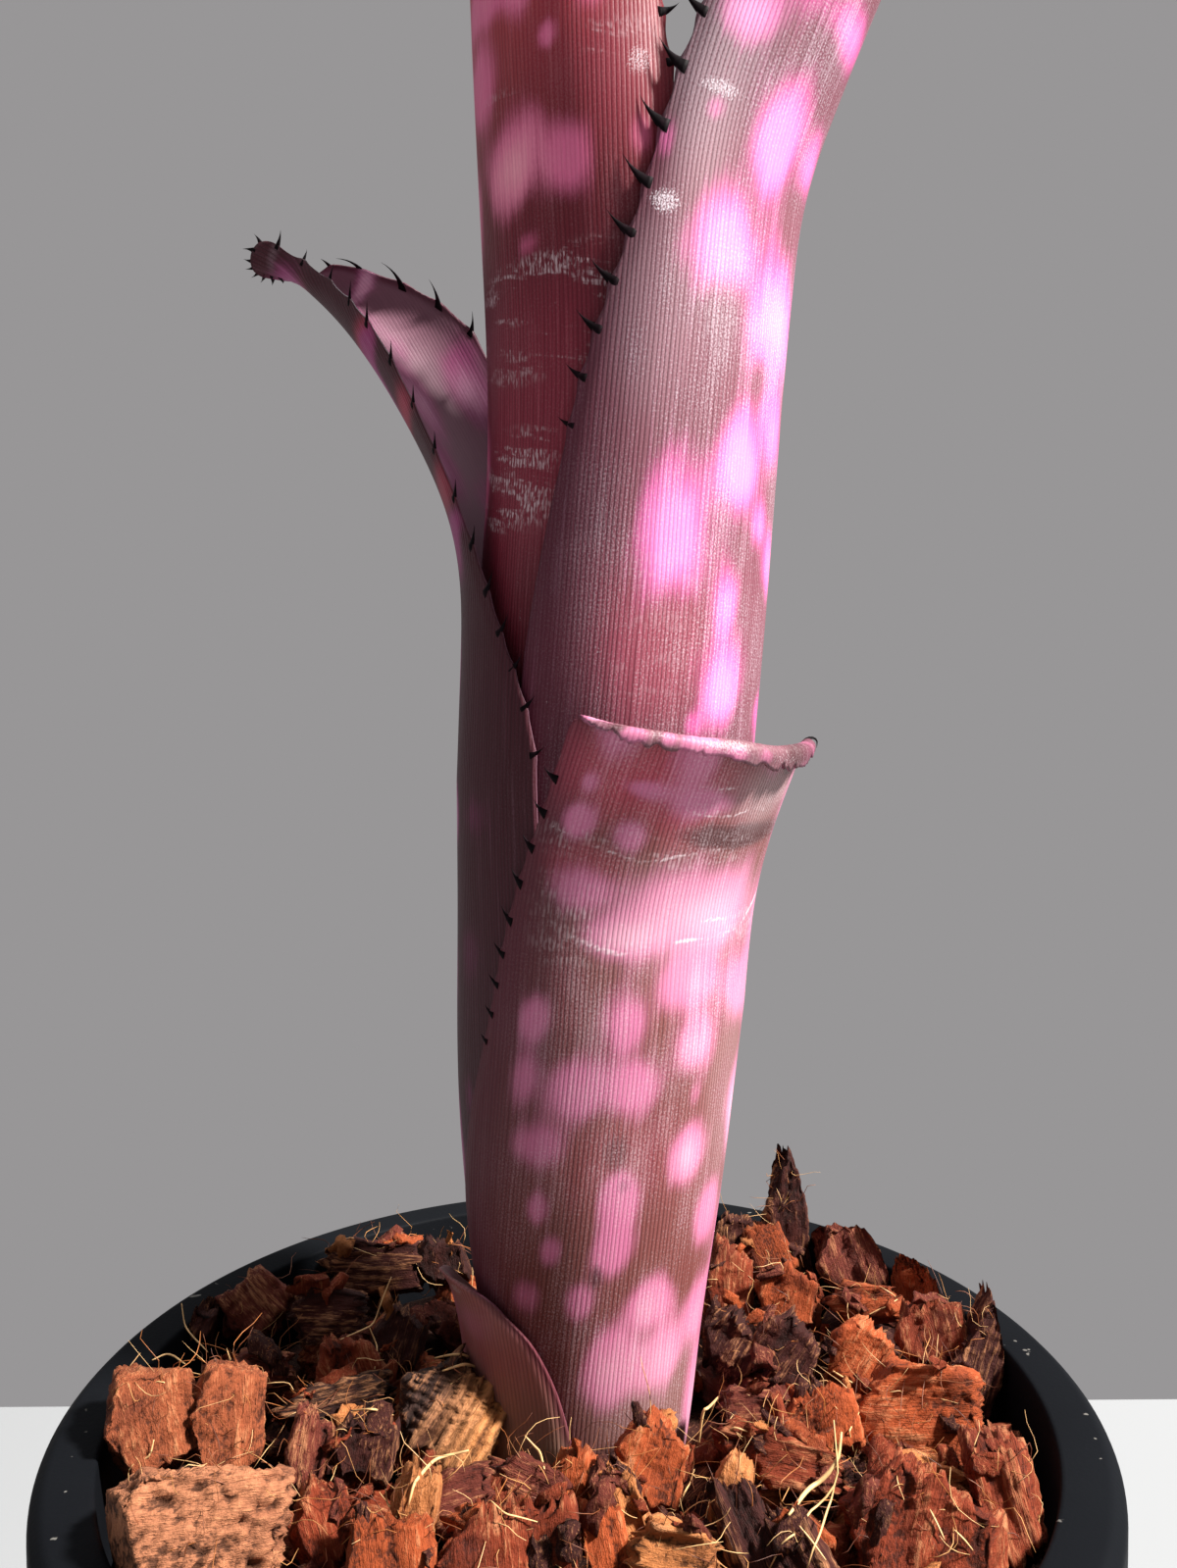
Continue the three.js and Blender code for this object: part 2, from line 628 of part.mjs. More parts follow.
function huskGeometry() {
  const bedProfile = [[0, bedFloor], [51.5, bedFloor], [65.4, 108], [65.7, bedTop], [0, bedTop]];
  const insideProfile = [[0, 90], [63, 90], [65.4, 108], [65.9, 118], [66.7, 125], [66.7, 150], [0, 150]];
  const standing = standingChips.map(({ place, size, turn, nod, point }) => {
    const chip = chipGeometry(...size, seeded(3), point);
    const tip = THREE.MathUtils.degToRad(nod);
    return faceTo(chip, new THREE.Vector3(0, -Math.sin(tip), Math.cos(tip)), turn).translate(...place);
  });
  const chips = joined([...topChipGeometries(), ...fillChipGeometries(), ...standing]);
  const bed = toSolid(revolve(bedProfile, potSegments));
  const inside = toSolid(revolve(insideProfile, potSegments));
  return outerSurface(fromSolid(bed.add(chips.intersect(inside)).subtract(holeSolid())));
}

function named(name, geometry, color, roughness) {
  const material = new THREE.MeshStandardMaterial({ color, roughness, metalness: 0 });
  const mesh = new THREE.Mesh(geometry, material);
  mesh.name = name;
  return mesh;
}

const group = new THREE.Group();
group.add(named("pot", fromSolid(potSolid()), 0x25292d, 0.55));
group.add(named("husk_medium", huskGeometry(), 0x8a4526, 0.95));
const stem = closed(revolve(stemProfile, 20).translate(axisX(112), axisY, 0));
group.add(named("stem", stem, 0x6b5a3c, 0.8));
for (const [name, leaf] of Object.entries(leaves)) {
  leaf.stations = midline(leaf);
  const blade = joined([bladeGeometry(leaf), ...leafSpines(leaf)]);
  group.add(named(name, fromSolid(blade), leaf.color, 0.6));
}

export default group;
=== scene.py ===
"""Looks of a potted bromeliad: finer leaves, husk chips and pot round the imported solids."""

import math
from types import SimpleNamespace

import bpy
import numpy as np
from mathutils import Matrix, Vector, noise
from mathutils.bvhtree import BVHTree


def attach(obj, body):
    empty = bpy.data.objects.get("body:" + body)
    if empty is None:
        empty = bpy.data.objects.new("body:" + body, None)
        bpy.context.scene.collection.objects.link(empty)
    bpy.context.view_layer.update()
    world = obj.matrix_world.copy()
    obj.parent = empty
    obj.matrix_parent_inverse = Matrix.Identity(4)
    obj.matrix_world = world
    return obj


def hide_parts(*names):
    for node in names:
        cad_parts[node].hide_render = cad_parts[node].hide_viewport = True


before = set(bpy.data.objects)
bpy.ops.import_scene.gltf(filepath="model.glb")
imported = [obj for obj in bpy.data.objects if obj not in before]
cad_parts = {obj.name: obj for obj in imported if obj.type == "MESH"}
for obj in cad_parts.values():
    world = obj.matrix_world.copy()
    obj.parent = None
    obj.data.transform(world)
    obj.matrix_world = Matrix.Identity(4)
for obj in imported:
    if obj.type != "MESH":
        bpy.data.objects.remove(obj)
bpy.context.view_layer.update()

# Lengths below are in millimetres and are made metres when a mesh is built.
MM = 0.001

# The photograph: its size in pixels, the eye's place, its tilt and its focal length in pixels.
PHOTO_WIDTH = 1200
PHOTO_HEIGHT = 1599
EYE = np.array([2.0, -173.7, 220.3])
PITCH = math.radians(1.96)
ROLL = math.radians(0.38)
FOCAL = 1201
SENSOR = 36

# The pot.
POT_HEIGHT = 125
RIM_RADIUS = 75
RIM_INNER = 67.1
POT_SEGMENTS = 192
POT_ROUNDING = 0.7
DRAIN = {"count": 8, "radius": 4, "ring": 40, "bottom": -4, "top": 7, "segments": 32}
POT_PROFILE = [
    (0, 0), (53, 0), (54.4, 1.5),
    (68.4, 108), (69.6, 116), (70.4, 122.4), (73, 122.4), (73.2, 118.5), (RIM_RADIUS, 118.5),
    (RIM_RADIUS, POT_HEIGHT - 1.6), (RIM_RADIUS - 1.6, POT_HEIGHT), (RIM_INNER, POT_HEIGHT),
    (66.4, 118), (65.9, 108), (51.9, 3), (0, 3),
]

# The bed of husk.
BED_FLOOR = 3.35
CHIP_PLANE = 125.5
BED_PROFILE = [
    (0, BED_FLOOR), (51.2, BED_FLOOR), (56, 40), (60.6, 75), (65, 107), (65.2, 110), (61, 112),
    (52, 112.6), (43, 112.4), (34, 112.8), (26, 112.5), (20, 113), (0, 113),
]
# The bed's colour is darker than the husk itself: painted shade in the gaps between the chips.
BED_SHADED_COLOUR = "2c130c"
WALL_INSIDE = [(63, 90), (65.4, 108), (65.9, 118), (66.7, 125), (66.7, 150)]

# The leaf tube and the blades, as in the solids.
BLADE_THICKNESS = 0.8
LAYER_STEP = 1.4
AXIS_Y = 6
AXIS_LEAN = [
    (66, -0.4), (100, 0.4), (132, 1.1), (162, 1.9), (184, 3.1), (244, 6.9), (334, 14.1), (420, 22),
]
TUBE_RADIUS = [
    (95, 7.8), (114, 11.3), (132, 13.2), (162, 16.7), (184, 18.2), (244, 20.6), (325, 20.6),
]

# At the margin a blade has a share of its thickness, which is full a little way in.
MARGIN_SHARE = 0.4
MARGIN_DEPTH = 2.2

# A spine: its rings and the points of each, how deep its root lies in the blade, how far its tip
# bends along the margin and how far the margin swells there, as shares of its size, and half its
# width (a length and a share of its size) and half its thickness at the root.
SPINE = {
    "rings": 9, "around": 8, "root": 0.7, "hook": 0.52, "swell": 0.16, "half": (0.36, 0.15),
    "thick": 0.3,
}

# The keys of each leaf are distances from its base along the midline.
# Spines: first and last place along a margin, and by place the gap to the next and the size.
TALL_SPINES = {
    "first": 164.6, "last": 333, "gap": [(164, 7), (300, 7), (334, 4.2)],
    "size": [(164, 1.7), (187, 3.8), (334, 3.2)],
}
YOUNG_HALF = [(0, 15), (50, 22), (110, 19), (150, 10), (166, 6)]
LEAVES = {
    "leaf_young_inner": {
        "layer": -1, "azimuth": 62, "base": 103, "length": 166, "end": 20, "blunt": 2, "free": 70,
        "tilt": [(110, -3), (166, -2)],
        "curl": [(110, 0.62), (166, 0.34)],
        "left": YOUNG_HALF, "right": YOUNG_HALF,
        "cells": (36, 110), "spines": {},
    },
    "leaf_tall_left": {
        "layer": 0, "azimuth": -149, "base": 103, "length": 318, "end": 24, "blunt": 2, "free": 150,
        "tilt": [(190, 8.4), (230, 8.4), (265, 18), (295, 42), (330, 90)],
        "curl": [(190, 0.96), (231, 0.73), (262, 0.74), (300, 1.1), (330, 2)],
        "left": [(0, 18), (40, 27), (120, 31), (180, 30), (231, 26.6), (300, 26), (330, 25)],
        "right": [(0, 18), (40, 27), (120, 31), (180, 30), (231, 25.8), (300, 26), (330, 25)],
        "cells": (80, 300), "spines": {-1: TALL_SPINES, 1: TALL_SPINES},
    },
    "leaf_tall_right": {
        "layer": 1, "azimuth": -24.3, "base": 103, "length": 306, "end": 24, "blunt": 2, "free": 145,
        "tilt": [(185, 1.2), (210, 20), (231, 20.5), (260, 31), (290, 54), (320, 92)],
        "curl": [(185, 1.08), (231, 0.74), (262, 0.76), (300, 1.1), (330, 2)],
        "left": [
            (0, 18), (40, 31), (120, 39), (160, 34), (200, 25), (231, 23.4), (300, 25), (330, 24),
        ],
        "right": [
            (0, 18), (40, 30), (120, 37), (160, 33), (200, 28), (231, 25), (300, 25), (330, 24),
        ],
        "cells": (100, 330),
        "spines": {
            -1: {
                "first": 162.5, "last": 323, "gap": [(162, 6.2), (300, 6.6), (324, 4)],
                "size": [(162, 2), (182, 4.2), (324, 3.4)],
            },
            1: {
                "first": 160, "last": 323, "gap": [(162, 6.8), (300, 6.8), (324, 4)],
                "size": [(162, 2), (182, 4), (324, 3.4)],
            },
        },
    },
    "leaf_left_recurved": {
        "layer": 2, "azimuth": 161.2, "base": 105,
        "length": 216.4, "end": 5, "blunt": 2, "free": 110,
        "tilt": [(130, 2.1), (160, 30), (180, 38.6), (200, 48.7), (209, 53.4), (217, 68.4)],
        "curl": [(150, 1.02), (180, 0.64), (205, 0.12), (212, 0.23), (219, 1.76)],
        "twist": [(180, -1.4), (200, -1.4), (209, 42.7), (217, 90.7)],
        "left": [
            (0, 18), (60, 32), (110, 33), (150, 20.6), (180, 21.3), (200, 9.7), (210, 3.1), (219, 5),
        ],
        "right": [
            (0, 18), (60, 32), (110, 32.5), (150, 17.3), (180, 13.1), (200, 5.7), (210, 2.9),
            (219, 3.1),
        ],
        "cells": (64, 260),
        "spines": {
            -1: {
                "first": 116.4, "last": 227.4,
                "gap": [(110, 6.4), (212, 6.2), (218.6, 2), (222, 1.3), (224, 1.1), (228, 1.3)],
                "size": [
                    (110, 1), (130, 2.2), (207, 2.4), (214, 2), (221, 1.8), (223, 1.2), (228, 1.6),
                ],
            },
            1: {
                "first": 115.5, "last": 224.4,
                "gap": [
                    (108, 7.6), (125, 5.6), (142, 7.2), (178, 8.6), (187, 6.6), (201, 9.6),
                    (218, 4.1), (222, 1.8),
                ],
                "size": [(108, 1), (130, 2.2), (200, 2.5), (218, 2.4), (224, 2)],
            },
        },
    },
    "leaf_front_short": {
        "layer": 3, "azimuth": -47.8, "base": 107,
        "length": 118.2, "end": 5.3, "blunt": 3, "free": 75,
        "fold": {"at": [(-26, 112.7), (-8, 113.5), (2, 113), (16, 112.6)], "radius": 1, "turn": 165},
        "tilt": [(85, 2.7), (95, 12.7), (108, 21.1), (118, 19.8)],
        "curl": [(95, 1.04), (108, 1.12), (118, 1.23)],
        "left": [(0, 18), (50, 37), (80, 31.9), (105, 27.7), (124, 27.7)],
        "right": [(0, 18), (50, 35), (80, 26.1), (105, 20.6), (116, 13.9)],
        "cells": (110, 240),
        "spines": {
            -1: {
                "first": 76, "last": 113, "gap": [(76, 4), (113, 4.4)],
                "size": [(76, 1.1), (90, 1.9), (113, 1.7)],
            },
            1: {
                "first": 72, "last": 117, "gap": [(72, 4.6), (103, 4.6), (110, 3), (117, 2.6)],
                "size": [(72, 1.1), (117, 1.2)],
            },
        },
        "mucro": (1, 119.5, 3.2), "torn": 1.8,
    },
    "leaf_basal_bract": {
        "layer": 4.1, "azimuth": -158.5, "base": 105,
        "length": 38.9, "end": 4, "blunt": 2, "free": 16,
        "tilt": [(20, 6.3), (28, 10.2), (34, 17.7), (40, 45.4)],
        "curl": [(30, 1), (40, 0.55)],
        "left": [(0, 16), (8, 20), (20, 19), (28, 13), (34, 7), (40, 2)],
        "right": [
            (0, 16), (8, 23), (17, 19.5), (24, 17.9), (30, 15.5), (34, 11.5), (37, 7.8), (40, 2),
        ],
        "cells": (72, 60), "spines": {},
    },
}

# Pink spots as boxes in the photo's pixels: left, top, right, bottom, strength, whiteness.
SPOTS = {
    "leaf_tall_right": [
        (731, -30, 803, 46, 1, 0.75), (765, 55, 820, 217, 1, 0.95), (833, -20, 892, 90, 1, 0.6),
        (815, 112, 840, 215, 0.9, 0.5), (703, 180, 772, 298, 1, 0.9), (757, 248, 812, 385, 1, 0.8),
        (727, 412, 774, 532, 1, 1), (772, 385, 796, 482, 0.9, 0.5), (765, 505, 781, 560, 0.7, 0.4),
        (648, 463, 728, 612, 1, 1), (727, 577, 751, 655, 0.9, 0.6), (710, 645, 757, 752, 1, 0.9),
        (776, 530, 790, 605, 0.8, 0.4), (694, 722, 712, 752, 0.7, 0.1),
        (766, 705, 780, 752, 0.7, 0.1), (717, 98, 741, 124, 0.6, 0.1), (670, 118, 686, 160, 0.5, 0),
    ],
    "leaf_tall_left": [
        (497, 106, 563, 220, 0.85, 0.55), (553, 114, 604, 200, 0.8, 0.1),
        (476, 35, 504, 142, 0.8, 0.1), (545, 17, 568, 52, 0.7, 0.1), (474, -40, 535, 14, 0.95, 0.2),
        (638, 112, 668, 164, 0.6, 0.1), (524, 236, 552, 268, 0.45, 0),
        (560, -60, 620, -20, 0.8, 0.2),
    ],
    "leaf_left_recurved": [
        (458, 510, 478, 552, 0.7, 0), (345, 325, 400, 392, 0.8, 0.1), (470, 800, 500, 860, 0.25, 0),
        (470, 930, 492, 1010, 0.25, 0), (474, 1090, 486, 1150, 0.3, 0),
    ],
    "leaf_front_short": [
        (570, 812, 608, 858, 0.9, 0.1), (624, 832, 660, 872, 0.8, 0.05),
        (688, 802, 752, 834, 0.85, 0.1), (630, 794, 684, 816, 0.7, 0), (590, 786, 614, 812, 0.6, 0),
        (560, 884, 640, 930, 0.7, 0.1), (630, 878, 765, 976, 1, 0.45),
        (590, 930, 680, 976, 0.85, 0.5), (672, 968, 736, 1030, 0.95, 0.3),
        (686, 1030, 727, 1094, 0.95, 0.35), (736, 972, 760, 1040, 0.9, 0.2),
        (617, 1012, 662, 1082, 0.85, 0.1), (618, 1076, 670, 1138, 0.9, 0.2),
        (556, 1078, 624, 1150, 0.9, 0.25), (526, 1012, 561, 1064, 0.7, 0),
        (518, 1066, 552, 1130, 0.6, 0), (518, 1144, 578, 1194, 0.7, 0.05),
        (682, 1144, 718, 1208, 1, 0.5), (612, 1192, 653, 1250, 0.95, 0.15),
        (598, 1242, 644, 1308, 0.95, 0.15), (537, 1216, 561, 1252, 0.7, 0),
        (548, 1258, 574, 1294, 0.7, 0), (573, 1308, 604, 1346, 0.8, 0.1),
        (638, 1304, 684, 1356, 0.95, 0.35), (590, 1352, 650, 1436, 1, 0.3),
        (646, 1352, 696, 1418, 0.9, 0.3), (694, 1308, 718, 1370, 0.95, 0.2),
        (707, 1204, 730, 1266, 0.9, 0.2), (520, 1300, 556, 1342, 0.5, 0),
        (700, 1100, 716, 1130, 0.4, 0),
    ],
    "leaf_basal_bract": [(470, 1330, 500, 1370, 0.5, 0)],
}

# Spots on the inner face of the leaf that bends away, in the photo's pixels.
INNER_SPOTS = {
    "leaf_front_short": [
        (628, 740, 660, 764, 1, 0), (672, 748, 690, 762, 0.8, 0), (694, 752, 724, 770, 1, 0),
        (738, 758, 762, 782, 0.9, 0), (775, 764, 790, 782, 0.6, 0),
    ],
    "leaf_left_recurved": [
        # Its first spot, pale right through, is partly painted light on the lit top of its inner
        # face.
        (330, 266, 402, 312, 1, 1), (456, 344, 488, 380, 0.4, 0), (392, 338, 424, 374, 0.3, 0),
        (430, 430, 470, 520, 0.35, 0),
    ],
}

# Patches of thin broken silvery cross-bands, as boxes of pixels with a strength.
STRIPS = {
    "leaf_tall_left": [
        (486, 250, 636, 316, 0.9), (486, 338, 612, 384, 0.6), (488, 440, 562, 536, 1),
        (490, 78, 566, 102, 0.35), (596, 16, 672, 52, 0.45),
    ],
    "leaf_tall_right": [(628, 560, 700, 740, 0.25)],
    "leaf_front_short": [
        (556, 842, 770, 888, 0.4), (556, 926, 780, 988, 0.5), (690, 796, 808, 836, 0.6),
        (560, 776, 700, 802, 0.25), (548, 896, 660, 922, 0.25),
    ],
}

# Single silvery cross-bands as lines of pixels, with their width in millimetres and strength.
BANDS = {
    "leaf_front_short": [
        ([(560, 836), (585, 857), (641, 874), (667, 878), (722, 870), (752, 862)], 0.4, 1),
        ([(700, 804), (754, 806), (806, 796)], 0.3, 0.75),
        ([(690, 830), (754, 829), (806, 806)], 0.35, 0.8),
        ([(580, 786), (633, 799), (693, 793)], 0.35, 0.5),
        ([(548, 908), (593, 917), (640, 912)], 0.4, 0.5),
        ([(575, 954), (637, 972), (660, 972)], 0.6, 0.9), ([(612, 941), (655, 950)], 0.4, 0.8),
        ([(690, 962), (728, 956), (754, 943), (772, 905)], 0.5, 0.9),
        ([(705, 944), (746, 935), (768, 898)], 0.4, 0.8), ([(548, 942), (580, 958)], 0.4, 0.5),
        ([(560, 1352), (610, 1350), (640, 1338)], 0.4, 0.35),
    ],
}

# Patches of whitish scurf as boxes of pixels with a strength.
SCURF = {
    "leaf_tall_left": [(628, 36, 676, 84, 0.9), (520, 440, 560, 530, 0.3), (655, 0, 680, 40, 0.5)],
    "leaf_tall_right": [
        (690, 68, 776, 106, 1), (654, 184, 700, 224, 1), (710, 136, 734, 156, 0.6),
        (762, 376, 782, 398, 0.7), (770, 484, 778, 504, 0.6), (800, 215, 818, 255, 0.5),
        (628, 540, 700, 752, 0.35), (700, 660, 760, 720, 0.35), (690, 660, 716, 676, 0.6),
        (560, 650, 600, 752, 0.3),
    ],
    "leaf_front_short": [
        (570, 1330, 600, 1372, 0.5), (722, 980, 742, 1080, 0.7), (600, 900, 660, 985, 0.35),
        (660, 1450, 720, 1480, 0.2),
    ],
    "leaf_basal_bract": [(452, 1296, 476, 1320, 1)],
}

# Whitish scurf on the inner face that the folded tip shows.
INNER_SCURF = {
    "leaf_front_short": [
        (640, 742, 700, 758, 0.85), (690, 744, 775, 776, 1), (770, 762, 822, 784, 0.8),
    ],
}

# Thin pale scratches that run up a leaf, as lines of pixels.
SCRATCHES = {
    "leaf_tall_right": [
        [(632, 436), (640, 470), (643, 520), (648, 548)], [(652, 436), (648, 462)],
        [(617, 596), (607, 640), (611, 700), (608, 748)], [(585, 676), (594, 716)],
        [(560, 690), (558, 748)],
    ],
    "leaf_front_short": [
        [(731, 985), (729, 1030), (731, 1078)], [(632, 1118), (631, 1150), (624, 1186)],
    ],
    "leaf_tall_left": [[(528, 590), (530, 640)]],
}

# Dark patches as boxes of pixels with a strength. The tall left leaf's patch is painted shadow
# that the tall right leaf casts on its upper right.
DARK_PATCHES = {
    "leaf_front_short": [
        (684, 838, 790, 868, 1), (612, 1150, 646, 1200, 0.6), (600, 1290, 618, 1316, 0.7),
        (630, 1200, 646, 1220, 0.5), (560, 1336, 620, 1376, 0.35), (620, 800, 700, 826, 0.3),
        (806, 740, 836, 790, 1), (580, 728, 640, 748, 0.5),
    ],
    # Painted shadow of the tall right leaf.
    "leaf_tall_left": [(570, -60, 700, 190, 0.75)],
}

# Dark patches on the inner face. On the leaf that bends away they are painted shadow that the
# tall left leaf casts on it.
INNER_DARK = {
    # Painted shadow of the tall left leaf.
    "leaf_left_recurved": [(404, 330, 445, 368, 0.35), (430, 398, 482, 430, 0.35)],
    "leaf_front_short": [
        (586, 730, 640, 750, 1), (768, 764, 800, 786, 0.5), (800, 744, 836, 784, 1),
    ],
}

# Rosy patches, and patches under a thin silvery veil, as boxes of pixels with a strength. The veil is
# partly painted sheen on the lit top of the tall right leaf and the lit right edge of the short front
# leaf, and painted light on the shaded tip of the recurved leaf.
BLUSH = {
    "leaf_front_short": [
        (566, 748, 752, 850, 0.95), (556, 856, 640, 905, 0.5), (560, 1140, 700, 1240, 0.2),
    ],
    "leaf_tall_right": [(600, 560, 730, 752, 0.4)],
    "leaf_tall_left": [(486, 236, 640, 600, 0.45)],
    "leaf_left_recurved": [
        (290, 252, 345, 300, 0.8), (352, 312, 396, 380, 0.9), (392, 384, 432, 452, 0.9),
        (432, 470, 468, 540, 0.8),
    ],
}
VEIL_AND_SHEEN = {
    # The entry at its right edge is partly painted sheen.
    "leaf_front_short": [
        (740, 780, 830, 836, 0.6), (600, 880, 790, 990, 0.3), (722, 980, 770, 1230, 0.25),
        (600, 1350, 700, 1470, 0.3),
    ],
    # Partly painted sheen on the lit top.
    "leaf_tall_right": [(640, -80, 790, 180, 0.6), (620, 200, 720, 430, 0.3)],
    "leaf_basal_bract": [(450, 1296, 520, 1370, 0.35)],
    # Painted light on the shaded tip.
    "leaf_left_recurved": [(248, 244, 316, 298, 0.75)],
}

# For the outer face and the inner one: spots, dark patches and scurf.
FACE_TABLES = {1: (SPOTS, DARK_PATCHES, SCURF), -1: (INNER_SPOTS, INNER_DARK, INNER_SCURF)}
# The values painted on the points of each leaf.
MASKS = ("spot", "glow", "band", "strip", "scurf", "dark", "rose_and_shade", "blush", "veil_and_sheen")

# The seeds of the spots on the sides that the photo doesn't show.
SPOT_SEEDS = {
    "leaf_young_inner": 3, "leaf_tall_left": 4, "leaf_tall_right": 8, "leaf_left_recurved": 15,
    "leaf_front_short": 16, "leaf_basal_bract": 23,
}
# Where such a spot may lie: at points that face the eye less than a share or show above a row of
# the photo, some way up from the base and in from the edge, of which so many are tried. Spots keep
# a spacing, which is longer along the blade by a stretch. Half their size across and along it is
# given as the least, and how much more at most.
HIDDEN_SPOTS = {
    "facing": 0.12, "above": -25, "up": 14, "in": 2, "tries": 4000, "spacing": 10.08,
    "stretch": 1.7, "across": (2.2, 3), "along": (4, 8),
}

# The looks of each leaf. Its tones: between ribs, on ribs, cloudy patches, spots, spot centres,
# cross-bands and scurf, inner face, and the lowest part near the husk.
# low: a colour that the lower blade is multiplied by, with the distances where that ends and starts.
# dust: how much silvery dust lies on the ribs. rose: side and width of the rosy margin by distance;
# on the tall right leaf and the short front leaf the wide left margin is also painted shade of the
# side turned from the light.
# strip_slope: how far the thin cross-bands rise for each millimetre across the blade.
TONES = ("groove", "crest", "cloud", "spot", "centre", "silver", "inside", "foot")
LEAF_LOOKS = {
    "leaf_young_inner": {
        "tones": (
            "3c1c26", "643843", "4c222e", "9e5075", "b983a1", "8a797e", "593241", "644f41",
        ),
        "low": ("c0b0b4", 60, 20), "dust": 0.2,
    },
    "leaf_tall_left": {
        # Its tones are brighter than the leaf's own colour: painted light for the light that shines
        # through it where the tall right leaf shades it.
        "tones": (
            "8e2439", "c15258", "a52f43", "e26e9b", "fcaebc", "d0b9c0", "773e51", "5e3330",
        ),
        "low": ("70566c", 236, 176), "dust": 0.12, "strip_slope": 0.3,
    },
    "leaf_tall_right": {
        "tones": (
            "4e202c", "905966", "682c3e", "ce5796", "f089c7", "d9ccd5", "734254", "634138",
        ),
        "low": ("e0c4cc", 150, 90), "dust": 0.75,
        # Its wide rosy left margin is partly painted shade of the side turned from the light.
        "rose_and_shade": (-1, [(0, 26), (110, 22), (160, 10), (250, 3)]),
    },
    "leaf_left_recurved": {
        # Its outer tones are darker than the leaf's own colour: painted shade for the side it turns
        # from the light.
        "tones": (
            "300d16", "4b1e29", "3a0c16", "9d3b75", "e2b0cb", "8c757f", "956d7e", "492c27",
        ),
        "low": ("d0b8b8", 70, 20), "dust": 0.15, "rose_and_shade": (-1, [(0, 3), (110, 2.5), (219, 1.2)]),
    },
    "leaf_front_short": {
        "tones": (
            "441f20", "8d5553", "76323e", "cb7199", "e7acc0", "e9dadf", "6d4a57", "774e46",
        ),
        "low": ("e8d8cc", 60, 15), "dust": 0.45,
        # Its wide rosy left margin is partly painted shade of the side turned from the light.
        "rose_and_shade": (-1, [(0, 14), (60, 19), (112, 7), (118, 3)]),
    },
    "leaf_basal_bract": {
        "tones": (
            "704344", "af6d69", "883e4b", "b0607a", "c8a0a8", "b6a8a4", "684944", "9a846c",
        ),
        "low": ("f0e8e0", 30, 10), "dust": 0.15, "rose_and_shade": (1, [(0, 2), (40, 2)]),
    },
}
# The rosy margin's colour, dark partly as painted shade.
ROSE_AND_SHADE = "4c1428"
LEAF_DARK = "201418"
BLUSH_TONES = ("862038", "d04c66")
RIB_SPACING = 0.62
RIB_WANDER = 5
LEAF_RELIEF = 0.06
FOOT_ENDS = (30, 8)
# The noises of a blade: cycles a millimetre across it, along it and from face to face, how many
# finer ones lie in each, and how strong those are.
LEAF_NOISES = {
    "wander": ((0.2, 0.02, 3), 2, 0.55), "streak": ((1.5, 0.045, 2), 4, 0.65),
    "fine": ((4.2, 1.4, 2), 3, 0.55), "cloud": ((0.11, 0.06, 5), 3, 0.55),
    "dash": ((2.7, 0.6, 2), 3, 0.6), "strip": ((0.06, 0.34, 3), 4, 0.6),
    "tick": ((2.4, 0.75, 9), 2, 0.55), "fleck": ((4.6, 3.2, 7), 3, 0.6),
}

# Colours of the other materials: the pot's two shades and its dust, the spines', the husk's pits
# (painted shade), blotches and crests (partly painted highlight), the dark stretches of the fibres
# and the stem's two shades.
POT_TONES = ("0c0d10", "131518", "b8b4ac")
SPINE_TONES = ("0a0407", "1e0d15")
HUSK_TONES = ("1c0a06", "44180f", "b98058")
FIBRE_DARK = "5e2c18"
STEM_TONES = ("3d2a1c", "8a7352")
